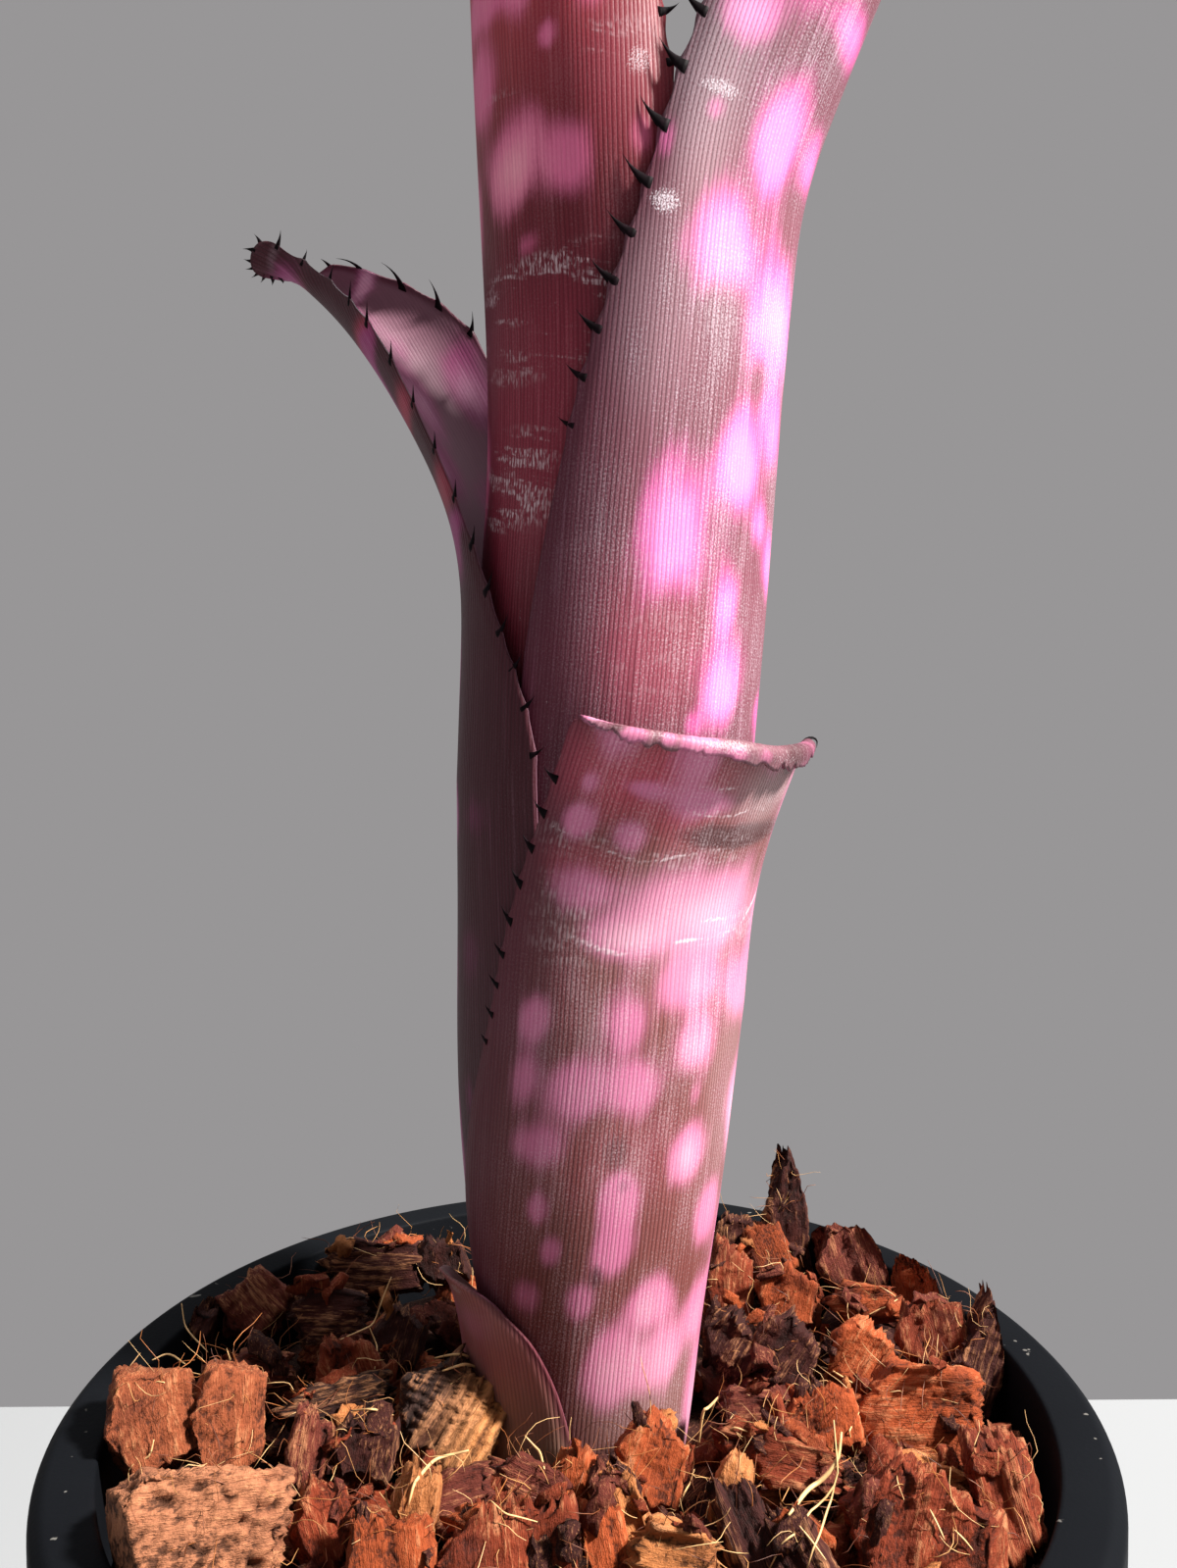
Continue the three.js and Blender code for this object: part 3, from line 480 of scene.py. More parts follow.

# Top chips in the photo's pixels: left, top, right, bottom, turn in degrees, lift, kind, fibre axis.
# The plant's shadow falls on backLeft, besideTube, midLeft, midDark and shadeFront, which take the
# dark kind as painted shadow, and on shade, which takes the deep kind.
TOP_CHIPS = {
    "twoLobedLeft": (98, 1390, 212, 1507, -8, 4, "lobe", 1),
    "twoLobedRight": (190, 1392, 275, 1500, 6, 3, "lobe", 1),
    "granular": (92, 1503, 300, 1640, 4, 4, "tan", 0),
    "striped": (402, 1392, 524, 1492, 37, 0, "striped", 1),
    "pointed": (287, 1445, 340, 1523, 12, 0, "brown", 1),
    "belowPointed": (300, 1510, 367, 1592, -14, 0, "rust", 1),
    "backLeft": (330, 1262, 430, 1320, 5, 0, "dark", 0),
    "besideTube": (424, 1263, 478, 1309, -6, 0, "dark", 1),
    "leaning": (216, 1296, 297, 1366, -40, 0, "brown", 1),
    "nearWallLeft": (180, 1330, 219, 1364, 30, 0, "dark", 1),
    "midLeft": (293, 1313, 372, 1375, 8, 0, "dark", 0),
    "brightLeft": (327, 1365, 392, 1436, -18, 0, "rust", 1),
    "behindLobes": (227, 1374, 304, 1424, 3, 0, "brown", 0),
    "midDark": (376, 1338, 432, 1396, 20, 0, "dark", 1),
    "shade": (293, 1407, 392, 1455, -5, 0, "deep", 0),
    "shadeFront": (330, 1450, 405, 1514, 14, 0, "dark", 1),
    "uprightFlake": (402, 1500, 448, 1584, 8, 0, "golden", 1),
    "frontBlock": (338, 1552, 450, 1650, -4, 0, "orange", 1),
    "frontCentre": (447, 1540, 588, 1640, -3, 0, "rust", 1),
    "darkCentre": (433, 1494, 505, 1558, -10, 0, "brown", 0),
    "slanted": (497, 1488, 585, 1538, 24, 0, "brown", 0),
    "rounded": (553, 1482, 620, 1538, 10, 0, "orange", 1),
    "frontSmall": (585, 1537, 642, 1606, -12, 0, "orange", 1),
    "frontOfBase": (626, 1449, 706, 1536, 22, 0, "orange", 1),
    "paleFlake": (603, 1508, 664, 1610, -20, 0, "golden", 1),
    "paleSlab": (643, 1556, 735, 1622, 6, 0, "golden", 0),
    "goldenFibre": (724, 1484, 762, 1560, 15, 0, "golden", 1),
    "darkSlabLeft": (738, 1526, 794, 1620, -28, 0, "dark", 1),
    "darkSlabRight": (776, 1540, 846, 1640, -30, 0, "dark", 1),
    "shell": (726, 1448, 801, 1494, 10, 0, "rust", 0),
    "brightRight": (793, 1422, 878, 1481, -12, 0, "orange", 1),
    "redBrown": (762, 1468, 862, 1519, 5, 0, "rust", 0),
    "bigBlock": (880, 1390, 1003, 1500, -6, 0, "orange", 0),
    "goldenStrip": (897, 1487, 984, 1515, 4, 0, "golden", 0),
    "frontRight": (862, 1508, 1027, 1630, 12, 0, "rust", 1),
    "wallChip": (990, 1476, 1056, 1590, -18, 0, "rust", 1),
    "topRight": (915, 1283, 997, 1335, 6, 0, "orange", 1),
    "underTopRight": (913, 1332, 988, 1388, -14, 0, "rust", 1),
    "behindTall": (836, 1247, 904, 1318, -20, 0, "brown", 1),
    "backDark": (722, 1240, 772, 1293, 8, 0, "dark", 1),
    "backOrange": (750, 1248, 808, 1308, -24, 0, "orange", 1),
    "besideTubeRight": (716, 1274, 768, 1348, 6, 0, "rust", 1),
    "midRight": (770, 1292, 838, 1348, 14, 0, "orange", 1),
    "orangeRight": (842, 1306, 914, 1348, -6, 0, "orange", 0),
    "goldenPoint": (847, 1346, 904, 1412, 30, 0, "orange", 1),
    "reddishSlab": (715, 1346, 778, 1400, 32, 0, "dark", 1),
    "reddishSlabLong": (766, 1346, 838, 1414, 36, 0, "dark", 1),
    "darkOrange": (732, 1418, 794, 1462, -8, 0, "brown", 0),
}
STANDING_CHIPS = [
    {"place": (40, 51, 126.5), "size": (16, 32, 5), "turn": -4, "nod": 80, "point": 0.8},
    {"place": (62, 8, 120.5), "size": (8.5, 28, 4.5), "turn": -24, "nod": 72, "point": 0.2},
]
# The thickness of a top chip: a share of its lesser side, and a length added to that.
TOP_THICKNESS = (0.45, 4)
TOP_GROWTH = 1.08
# The cells of the chips' meshes: near the camera, further off and loose. The first end at a row.
CELLS = {"near": 0.56, "far": 0.75, "standing": 0.8, "loose": 1.1}
NEAR_ROW = 1340
# Chips between and under the top ones, and small ones near the front wall, below the photo.
# Thickness, lean and level: the least, and how much more at most.
GOLDEN_ANGLE = 2.39996
# The height of such a chip as a share of its width.
FLATNESS = (0.6, 0.4)
FILL = {
    "count": 36, "reach": 60, "size": (15, 21), "thickness": (5, 3), "lean": (0.2, 0.9),
    "level": (113.8, 2.6), "seed": 5,
    "kinds": ["rust", "dark", "brown", "orange", "rust", "dark"],
}
FRONT_FILL = {
    "rows": (34, 44, 54), "arc": (-165, -15), "step": 11.5, "size": (11, 15),
    "thickness": (4, 2), "lean": (0.15, 0.6), "level": (113.5, 2), "seed": 43,
    "kinds": ["brown", "rust", "dark", "orange", "rust"],
}
# Crumbs fall from above on a disc and stay in a ring of it. Width is a share of the length, and
# thickness a share of the width.
CRUMBS = {
    "count": 420, "length": (2.5, 8), "width": (0.2, 0.6), "thickness": (0.25, 0.6),
    "disc": 64, "reach": 62, "clear": 21, "above": 170, "lift": 0.3, "seed": 77,
    "kinds": ["rust", "orange", "brown", "dark", "golden", "rust", "brown", "dark"],
}
# Room between the chips and the pot's wall, and between them and the leaf bases.
WALL_ROOM = 0.3
LEAF_ROOM = 4.6
# The deep kind is painted shadow; the dark kind is the colour of dark chips, and on some top chips
# painted shadow as well.
CHIP_COLOURS = {
    "lobe": "8f4a2c", "orange": "94421e", "rust": "732c14", "dark": "36130e", "brown": "5d271c",
    "deep": "1f0a06", "tan": "a46a4b", "golden": "a7673a", "striped": "77513f",
}
# How crumbly, pitted, ridged and frayed at its ends a chip is: loose ones, and those of each kind.
LOOSE_GRAIN = (0.3, 0.6, 0, 2.6)
CHIP_GRAIN = {
    "lobe": (0.9, 0.2, 0, 0.9), "orange": (0.4, 0.5, 0, 2), "rust": (0.35, 0.6, 0, 2.6),
    "dark": (0.3, 0.6, 0, 2.8), "deep": (0.3, 0.6, 0, 2.8), "brown": (0.35, 0.6, 0, 2.4),
    "tan": (1.5, 1.9, 0, 1.2), "golden": (0.2, 0.3, 0, 2.6), "striped": (0.1, 0.2, 0.9, 2.8),
}
CLEAN_KINDS = ("lobe", "tan", "striped")
# The dark and the bright end of the striped chip.
STRIPED_ENDS = ("3e2a24", "b07444")

# Loose pale fibres on the chips, as lines of the photo's pixels, with a width in millimetres.
LOOSE_FIBRES = [
    ([(416, 1536), (424, 1510), (447, 1487), (478, 1479)], 0.75),
    ([(443, 1385), (466, 1381), (489, 1387)], 0.6),
    ([(451, 1398), (470, 1392), (489, 1395)], 0.7),
    ([(356, 1439), (378, 1437), (401, 1443)], 0.5),
    ([(347, 1366), (378, 1352), (391, 1322), (399, 1302)], 0.45),
    ([(376, 1352), (384, 1372), (382, 1396)], 0.4),
    ([(185, 1329), (189, 1352), (212, 1379)], 0.4),
    ([(155, 1387), (170, 1381), (189, 1391)], 0.5),
    ([(535, 1464), (548, 1478), (555, 1498)], 0.6),
    ([(393, 1518), (395, 1533), (405, 1548)], 0.5),
    ([(130, 1495), (153, 1483), (157, 1468)], 0.45),
    ([(804, 1545), (831, 1514), (854, 1487), (858, 1460)], 0.95),
    ([(785, 1599), (804, 1568), (831, 1537), (854, 1502), (850, 1448)], 0.45),
    ([(854, 1498), (846, 1533), (831, 1575), (823, 1599)], 0.45),
    ([(815, 1556), (828, 1572), (842, 1591)], 0.35),
    ([(835, 1393), (852, 1400), (869, 1410)], 0.5),
    ([(915, 1325), (900, 1334), (885, 1341)], 0.4),
    ([(948, 1539), (955, 1553), (963, 1570)], 0.4),
    ([(973, 1560), (982, 1569), (992, 1581)], 0.4),
    ([(712, 1475), (719, 1437), (735, 1422)], 0.7),
    ([(692, 1537), (702, 1515), (708, 1498)], 0.4),
    ([(733, 1472), (750, 1456), (762, 1460)], 0.5),
    ([(876, 1440), (866, 1460), (870, 1480)], 0.35),
    ([(500, 1530), (520, 1545), (548, 1552)], 0.35),
]
FIBRE_WIDTH = 0.62
FIBRE_COLOURS = ("dcb27a", "b98550", "a0602f", "7c4526", "5c2f1c")
# Hairs grow from the husk above a height and stay in a ring of the bed and above a lowest point.
HAIRS = {
    "count": 1500, "length": (2, 8), "width": (0.07, 0.16), "seed": 21,
    "rooted": 116, "lowest": 113, "reach": 66, "clear": 20,
}

# The stage, in metres: a floor like a table top that ends behind the pot, a grey surrounding, and
# the lights' places, sizes, watts and colours. Both lights look at one point of the plant.
FLOOR = {"reach": 1.5, "back": 0.213, "drop": 0.0002, "colour": "8e9092"}
SURROUND = "989697"
LIGHT_TARGET = (0, 0, 0.16)
LIGHTS = {
    "key": ((2.25, -0.73, 2.48), 0.44, 400, (1.0, 0.965, 0.92)),
    "sky": ((0.1, 0.45, 1.5), 1.4, 9, (0.95, 0.97, 1.0)),
}


def hue(text):
    """A colour given as six hex digits, as Blender's linear values."""
    parts = [int(text[i:i + 2], 16) / 255 for i in (0, 2, 4)]
    linear = [p / 12.92 if p <= 0.04045 else ((p + 0.055) / 1.055) ** 2.4 for p in parts]
    return (*linear, 1.0)


def rgb(text):
    """The same colour as an array of three."""
    return np.array(hue(text)[:3])


def along(keys, at):
    """A smooth curve through pairs of place and value, without overshoot."""
    x = np.array([k[0] for k in keys], float)
    y = np.array([k[1] for k in keys], float)
    at = np.clip(at, x[0], x[-1])
    if len(x) == 1:
        return np.full(np.shape(at), y[0])
    slope = np.diff(y) / np.diff(x)
    tangent = np.concatenate([slope[:1], slope[:-1] * slope[1:], slope[-1:]])
    turning = tangent[1:-1] <= 0
    sums = np.where(turning, 1, slope[:-1] + slope[1:])
    tangent[1:-1] = np.where(turning, 0, 2 * tangent[1:-1] / sums)
    i = np.clip(np.searchsorted(x, at, side="right") - 1, 0, len(x) - 2)
    span = x[i + 1] - x[i]
    t = (at - x[i]) / span
    rise = (1 - t) ** 2
    return (
        (1 + 2 * t) * rise * y[i] + t * rise * span * tangent[i]
        + t * t * (3 - 2 * t) * y[i + 1] - t * t * (1 - t) * span * tangent[i + 1]
    )


def smooth(low, high, value):
    """A soft step from 0 at the low value to 1 at the high one."""
    t = np.clip((value - low) / (high - low), 0, 1)
    return t * t * (3 - 2 * t)


def unit(v):
    """Vectors made one long."""
    return v / np.linalg.norm(v, axis=-1, keepdims=True)


def photo_axes():
    """The photo's right, down and forward directions."""
    forward = np.array([0, math.cos(PITCH), -math.sin(PITCH)])
    level = np.array([1.0, 0, 0])
    down = np.cross(forward, level)
    right = level * math.cos(ROLL) + down * math.sin(ROLL)
    return right, -level * math.sin(ROLL) + down * math.cos(ROLL), forward


def to_photo(points):
    """Where points show in the photo, in pixels."""
    right, down, forward = photo_axes()
    away = points - EYE
    depth = away @ forward
    x = PHOTO_WIDTH / 2 + FOCAL * (away @ right) / depth
    y = PHOTO_HEIGHT / 2 + FOCAL * (away @ down) / depth
    return x, y


def ray_at(x, y):
    """The direction from the eye through a pixel."""
    right, down, forward = photo_axes()
    return forward + right * (x - PHOTO_WIDTH / 2) / FOCAL + down * (y - PHOTO_HEIGHT / 2) / FOCAL


# Where the leaf tube's axis meets the top of the bed.
BED_CENTRE = np.array([float(along(AXIS_LEAN, 112.0)), AXIS_Y])


def seen_at(x, y, level):
    """The point at a height that shows at a pixel, and the millimetres of a pixel there."""
    ray = ray_at(x, y)
    reach = (level - EYE[2]) / ray[2]
    return EYE + ray * reach, reach / FOCAL


def midline(leaf):
    """Place, outward and sideways directions and section radius at every millimetre of a leaf."""
    azimuth = math.radians(leaf["azimuth"])
    out = np.array([math.cos(azimuth), math.sin(azimuth), 0])
    side = np.array([-math.sin(azimuth), math.cos(azimuth), 0])
    up = np.array([0, 0, 1.0])
    free = leaf["free"]
    s = np.arange(0, math.floor(leaf["length"] + 14) + 1, dtype=float)
    z = leaf["base"] + np.minimum(s, free)
    radius = along(TUBE_RADIUS, z) + leaf["layer"] * LAYER_STEP
    in_tube = s <= free
    angle = np.where(in_tube, 0, np.radians(along([(free, 0), *leaf["tilt"]], s)))
    walk = np.zeros((len(s), 3))
    for i in range(len(s)):
        if in_tube[i]:
            walk[i] = out * radius[i]
            walk[i][2] = z[i]
        else:
            walk[i] = walk[i - 1] + up * math.cos(angle[i]) + out * math.sin(angle[i])
    cos, sin = np.cos(angle)[:, None], np.sin(angle)[:, None]
    normal = out * cos - up * sin
    across = np.repeat(side[None], len(s), 0)
    if "twist" in leaf:
        turn = np.where(in_tube, 0, np.radians(along([(free, 0), *leaf["twist"]], s)))[:, None]
        turned = side * np.cos(turn) - normal * np.sin(turn)
        normal = normal * np.cos(turn) + side * np.sin(turn)
        across = turned
    place = walk.copy()
    place[:, 0] += along(AXIS_LEAN, walk[:, 2])
    place[:, 1] += AXIS_Y
    radius = radius * np.where(in_tube, 1, along([(free, 1), *leaf["curl"]], s))
    return place, normal, across, radius


def blade_point(leaf, q, s, n):
    """Points of a blade: q across from the midline, s along it, n outward from its middle."""
    reach, out = s, n
    if "fold" in leaf:
        fold = leaf["fold"]
        at, bend = along(fold["at"], q), fold["radius"]
        turn = np.clip((s - at) / bend, 0, math.radians(fold["turn"]))
        flap = np.clip(s - at - bend * turn, 0, None)
        folded_reach = at + (bend - n) * np.sin(turn) + flap * np.cos(turn)
        folded_out = bend - (bend - n) * np.cos(turn) + flap * np.sin(turn)
        reach = np.where(s > at, folded_reach, s)
        out = np.where(s > at, folded_out, n)
    place, normal, across, radius = leaf["stations"]
    t = np.clip(reach, 0, len(radius) - 1.001)
    i = np.floor(t).astype(int)
    f = t - i
    r = radius[i] * (1 - f) + radius[i + 1] * f
    f = f[..., None]
    p = place[i] * (1 - f) + place[i + 1] * f
    normal = normal[i] * (1 - f) + normal[i + 1] * f
    across = across[i] * (1 - f) + across[i + 1] * f
    angle = (q / r)[..., None]
    r, out = r[..., None], out[..., None]
    return p - normal * r + (r + out) * (normal * np.cos(angle) + across * np.sin(angle))


def blade_width(leaf, u, s):
    """Distance across a blade at a share u of its half width."""
    return u * np.where(u < 0, along(leaf["left"], s), along(leaf["right"], s))


def blade_reach(leaf, u):
    """How far up a blade reaches at a share u of its half width, with its rounded end."""
    rounding = 1 - np.sqrt(np.clip(1 - np.abs(u) ** leaf["blunt"], 0, 1))
    return leaf["length"] - leaf["end"] * rounding


def margin_path(leaf, side):
    """The margin of one side from the base to the middle of the tip: q, s and distance."""
    s = np.arange(0, leaf["length"] - leaf["end"], 1.0)
    q = blade_width(leaf, np.full(s.shape, float(side)), s)
    u = side * np.cos(np.linspace(0, math.pi / 2, 25))
    tip = blade_reach(leaf, u)
    s = np.concatenate([s, tip])
    q = np.concatenate([q, blade_width(leaf, u, tip)])
    distance = np.concatenate([[0], np.cumsum(np.hypot(np.diff(q), np.diff(s)))])
    return q, s, distance


def spine_places(leaf):
    """Side, distance along the margin and size of every spine of a leaf."""
    places = []
    for side, row in leaf["spines"].items():
        distance = row["first"]
        while distance < row["last"]:
            places.append((side, distance, float(along(row["size"], distance))))
            distance += float(along(row["gap"], distance))
        if leaf.get("mucro", (0,))[0] == side:
            places.append(leaf["mucro"])
    return places


def tube_faces(rings, around):
    """The quads of a tube, from each ring of points to the next."""
    faces = []
    for ring in range(rings - 1):
        for k in range(around):
            a, b = ring * around + k, ring * around + (k + 1) % around
            faces.append((a, b, b + around, a + around))
    return faces


def capped_tube(rings, around):
    """The faces of a tube that is closed at both ends."""
    start, end = range(around - 1, -1, -1), range((rings - 1) * around, rings * around)
    return [*tube_faces(rings, around), tuple(start), tuple(end)]


def spine_mesh(leaf, side, distance, size):
    """A smooth hooked spine: a broad flat base that narrows and bends towards the tip."""
    rings, around, root = SPINE["rings"], SPINE["around"], SPINE["root"]
    q, s, total = margin_path(leaf, side)
    i = int(np.argmax(total >= distance))
    f = (distance - total[i - 1]) / (total[i] - total[i - 1])
    tangent = np.array([q[i] - q[i - 1], s[i] - s[i - 1]]) / (total[i] - total[i - 1])
    outward = np.array([side * tangent[1], -side * tangent[0]])
    start = np.array([q[i - 1] + (q[i] - q[i - 1]) * f, s[i - 1] + (s[i] - s[i - 1]) * f])
    t = np.linspace(0, 1, rings)[:, None]
    turn = np.arange(around)[None] * 2 * math.pi / around
    half = SPINE["half"][0] + SPINE["half"][1] * size
    reach = -root + (size + root) * t
    hook = size * SPINE["hook"] * t ** 1.7
    width = half * (1 - t) ** 1.5 + 0.05 * (1 - t) + 0.015
    thick = SPINE["thick"] * (1 - t) ** 0.9 + 0.015
    flat = start + outward * reach[..., None] + tangent * (hook + width * np.cos(turn))[..., None]
    points = blade_point(leaf, flat[..., 0], flat[..., 1], thick * np.sin(turn))
    return points.reshape(-1, 3), capped_tube(rings, around)


def turned_out(points, faces):
    """The faces of one closed surface, all turned outward."""
    volume = 0
    for face in faces:
        a = points[face[0]]
        for j in range(1, len(face) - 1):
            volume += np.dot(a, np.cross(points[face[j]], points[face[j + 1]]))
    return faces if volume > 0 else [tuple(reversed(face)) for face in faces]


def blade_grid(leaf):
    """Distances across and along the blade for rows up it and columns across it."""
    across, up = leaf["cells"]
    even = np.linspace(-1, 1, across + 1)
    u = 0.7 * even + 0.3 * np.sin(math.pi / 2 * even)
    v = np.linspace(0, 1, up + 1)[:, None]
    torn = 0.6 * np.abs(wobble(u * 60, 9 * u, 7)) + 0.4 * np.abs(wobble(u * 170, 20 * u, 2))
    torn = leaf.get("torn", 0) * (torn + 0.3 * smooth(0.8, 1, np.abs(u)))
    s = v * (blade_reach(leaf, u) - torn)[None]
    q = blade_width(leaf, np.broadcast_to(u, s.shape), s)
    bulge = np.zeros(s.shape)
    for side, distance, size in spine_places(leaf):
        _, path_s, total = margin_path(leaf, side)
        at = np.interp(distance, total, path_s)
        near = np.exp(-(((s - at) / (0.5 + 0.35 * size)) ** 2)) * (u * side > 0) * np.abs(u) ** 24
        below_tip = at < leaf["length"] - leaf["end"]
        bulge += side * SPINE["swell"] * size * near * below_tip
    return u, s, q + bulge


def blade_mesh(leaf):
    """One blade with thin rounded margins and soft waves, with its grid for painting."""
    u, s, q = blade_grid(leaf)
    rows, columns = s.shape
    width = np.where(u < 0, along(leaf["left"], s), along(leaf["right"], s))
    edge = np.minimum((1 - np.abs(u)) * width, leaf["length"] - s)
    share = MARGIN_SHARE + (1 - MARGIN_SHARE) * smooth(0, MARGIN_DEPTH, edge)
    half = BLADE_THICKNESS / 2 * share
    wave = soft_waves(q, s, leaf["azimuth"])
    outer = blade_point(leaf, q, s, half + wave)
    inner = blade_point(leaf, q, s, wave - half)
    points = np.concatenate([outer.reshape(-1, 3), inner.reshape(-1, 3)])
    grid = np.arange(rows * columns).reshape(rows, columns)
    sheet = rows * columns

    def strip(a, b):
        return np.stack([a[:-1], a[1:], b[1:], b[:-1]], -1)

    outer_faces = np.stack([grid[:-1, :-1], grid[:-1, 1:], grid[1:, 1:], grid[1:, :-1]], -1)
    inner_faces = outer_faces[..., ::-1] + sheet
    rim = np.concatenate([
        strip(grid[:, 0], grid[:, 0] + sheet), strip(grid[:, -1] + sheet, grid[:, -1]),
        strip(grid[0] + sheet, grid[0]), strip(grid[-1], grid[-1] + sheet),
    ])
    faces = np.concatenate([outer_faces.reshape(-1, 4), inner_faces.reshape(-1, 4), rim])
    both = {"q": np.concatenate([q.ravel()] * 2), "s": np.concatenate([s.ravel()] * 2)}
    both["edge"] = np.concatenate([edge.ravel()] * 2)
    both["side"] = np.repeat([1.0, -1.0], sheet)
    return points, [tuple(face) for face in faces.tolist()], both


def soft_waves(q, s, seed):
    """Low waves of a blade that isn't quite even, in millimetres."""
    phase = math.radians(seed)
    return (
        0.10 * np.sin(q / 4.1 + s / 31 + phase) * np.sin(s / 17 + 2 * phase)
        + 0.06 * np.sin(q / 1.9 - s / 43 + 3 * phase) + 0.05 * np.sin(s / 7.3 + q / 9 + phase)
    )


def box_on_leaf(grid, box):
    """Centre and half sizes on a leaf, in millimetres, of a box of the photo's pixels."""
    left, top, right, bottom = box[:4]
    x, y = (left + right) / 2, (top + bottom) / 2
    q_left, q_right = point_on_leaf(grid, left, y)[0], point_on_leaf(grid, right, y)[0]
    s_top, s_bottom = point_on_leaf(grid, x, top)[1], point_on_leaf(grid, x, bottom)[1]
    half_q = max(0.6, abs(q_right - q_left) / 2)
    half_s = max(0.6, abs(s_top - s_bottom) / 2)
    return (q_left + q_right) / 2, (s_top + s_bottom) / 2, half_q, half_s


def point_on_leaf(grid, x, y):
    """Distances across and along a leaf of the point that shows at a pixel."""
    i = int(np.argmin(np.hypot(grid["x"] - x, grid["y"] - y) + grid["turned_away"]))
    return grid["q"][i], grid["s"][i]


def photo_grid(points, both, side):
    """The points of one face of a blade with their pixels, those turned away set far off."""
    chosen = both["side"] == side
    rows = {key: both[key][chosen] for key in ("q", "s")}
    rows["x"], rows["y"] = to_photo(points[chosen])
    return rows, chosen


def turned_away(points, normals):
    """A penalty in pixels for points whose face looks away from the eye."""
    return np.where(np.einsum("ij,ij->i", normals, EYE - points) > 0, 0.0, 300.0)


def wobble(q, s, seed):
    """A smooth uneven value between about -1 and 1 over a leaf."""
    a, b, c = 1.7 * seed, 2.9 * seed, 4.3 * seed
    return (
        0.45 * np.sin(q / 2.1 + a + 1.3 * np.sin(s / 5.3 + b))
        + 0.35 * np.sin(s / 2.9 + c + 1.2 * np.sin(q / 1.7 + a))
        + 0.2 * np.sin(q / 0.9 - s / 1.9 + b)
    )


def blob(both, centre, size, seed, uneven):
    """Distance from a centre as a share of the half sizes, with an uneven outline."""
    q0, s0 = centre
    reach = np.hypot((both["q"] - q0) / size[0], (both["s"] - s0) / size[1])
    return reach * (1 + uneven * wobble(both["q"], both["s"], seed))


def laid_over(mask, mark):
    """Marks that merge softly where they meet."""
    return 1 - (1 - mask) * (1 - mark)


def near_line(grid, both, line, axis):
    """How far points lie beside and beyond a line that runs across (0) or along (1) the blade."""
    pairs = np.array([point_on_leaf(grid, x, y) for x, y in line])
    order = np.argsort(pairs[:, axis])
    run, level = pairs[order, axis], pairs[order, 1 - axis]
    here, beside = (both["q"], both["s"]) if axis == 0 else (both["s"], both["q"])
    return beside - np.interp(here, run, level), np.maximum(run[0] - here, here - run[-1])


def hidden_spots(name, points, both, normals):
    """Spots on the parts of a leaf that the photo doesn't show, at least a spacing apart."""
    random = np.random.default_rng(SPOT_SEEDS[name])
    rule = HIDDEN_SPOTS
    _, row = to_photo(points)
    facing = np.einsum("ij,ij->i", unit(normals), unit(EYE - points)) > rule["facing"]
    unseen = ~(facing & (row > rule["above"]) & (both["side"] > 0))
    free = unseen & (both["s"] > rule["up"]) & (both["edge"] > rule["in"])
    chosen = []
    for i in random.permutation(np.flatnonzero(free))[:rule["tries"]]:
        q, s, side = both["q"][i], both["s"][i], both["side"][i]
        clear = all(
            side != other_side
            or math.hypot(q - other_q, (s - other_s) / rule["stretch"]) > rule["spacing"]
            for other_q, other_s, other_side, *_ in chosen
        )
        if clear:
            sizes = (rule["across"], rule["along"])
            half_q, half_s = (least + more * random.random() for least, more in sizes)
            chosen.append((q, s, side, half_q, half_s, random.random()))
    return chosen


def paint_leaf(name, leaf, points, both, normals):
    """The masks of a leaf: spots, their pale centres, silvery marks partly painted sheen, and dark
    and rosy parts partly painted shade.
    """
    masks = {key: np.zeros(len(points)) for key in MASKS}
    for side in (1, -1):
        grid, chosen = photo_grid(points, both, side)
        grid["turned_away"] = turned_away(points[chosen], normals[chosen])
        paint_face(name, side, grid, both, masks, chosen)
        if side > 0:
            paint_marks(name, grid, both, masks, chosen)
    for number, (q, s, side, half_q, half_s, strength) in enumerate(
        hidden_spots(name, points, both, normals)
    ):
        here = both["side"] == side
        share = 0.55 + 0.4 * strength
        add_spot(masks, both, here, (q, s), (half_q, half_s), share, strength / 2, number)
    if "mucro" in leaf:
        darken_mucro(leaf, both, masks)
    # The rosy margin, on the wide left margins partly painted shade.
    if "rose_and_shade" in LEAF_LOOKS[name]:
        side, widths = LEAF_LOOKS[name]["rose_and_shade"]
        half = along(leaf["left"] if side < 0 else leaf["right"], both["s"])
        masks["rose_and_shade"] = smooth(1, 0.1, (half - side * both["q"]) / along(widths, both["s"]))
    return masks


def paint_face(name, side, grid, both, masks, chosen):
    """The spots, dark patches and scurf that the tables give for one face of a leaf."""
    spots, darks, scurfs = FACE_TABLES[side]
    for number, box in enumerate(spots.get(name, [])):
        q, s, half_q, half_s = box_on_leaf(grid, box)
        add_spot(masks, both, chosen, (q, s), (half_q, half_s), box[4], box[5], number)
    for key, table, uneven, edge in (
        ("dark", darks, 0.2, (1.5, 0.3)), ("scurf", scurfs, 0.3, (1.6, 0.2)),
    ):
        for number, box in enumerate(table.get(name, [])):
            q, s, half_q, half_s = box_on_leaf(grid, box)
            r = blob(both, (q, s), (half_q, half_s), number, uneven)
            masks[key] = np.maximum(masks[key], smooth(*edge, r) * box[4] * chosen)


def darken_mucro(leaf, both, masks):
    """The corner round the hard point at a leaf's tip turns dark."""
    side, distance, size = leaf["mucro"]
    path_q, path_s, total = margin_path(leaf, side)
    tip_q, tip_s = np.interp(distance, total, path_q), np.interp(distance, total, path_s)
    near = np.hypot(both["q"] - tip_q, both["s"] - tip_s)
    masks["dark"] = np.maximum(masks["dark"], smooth(2.2 * size, 0.9 * size, near) * 1.4)


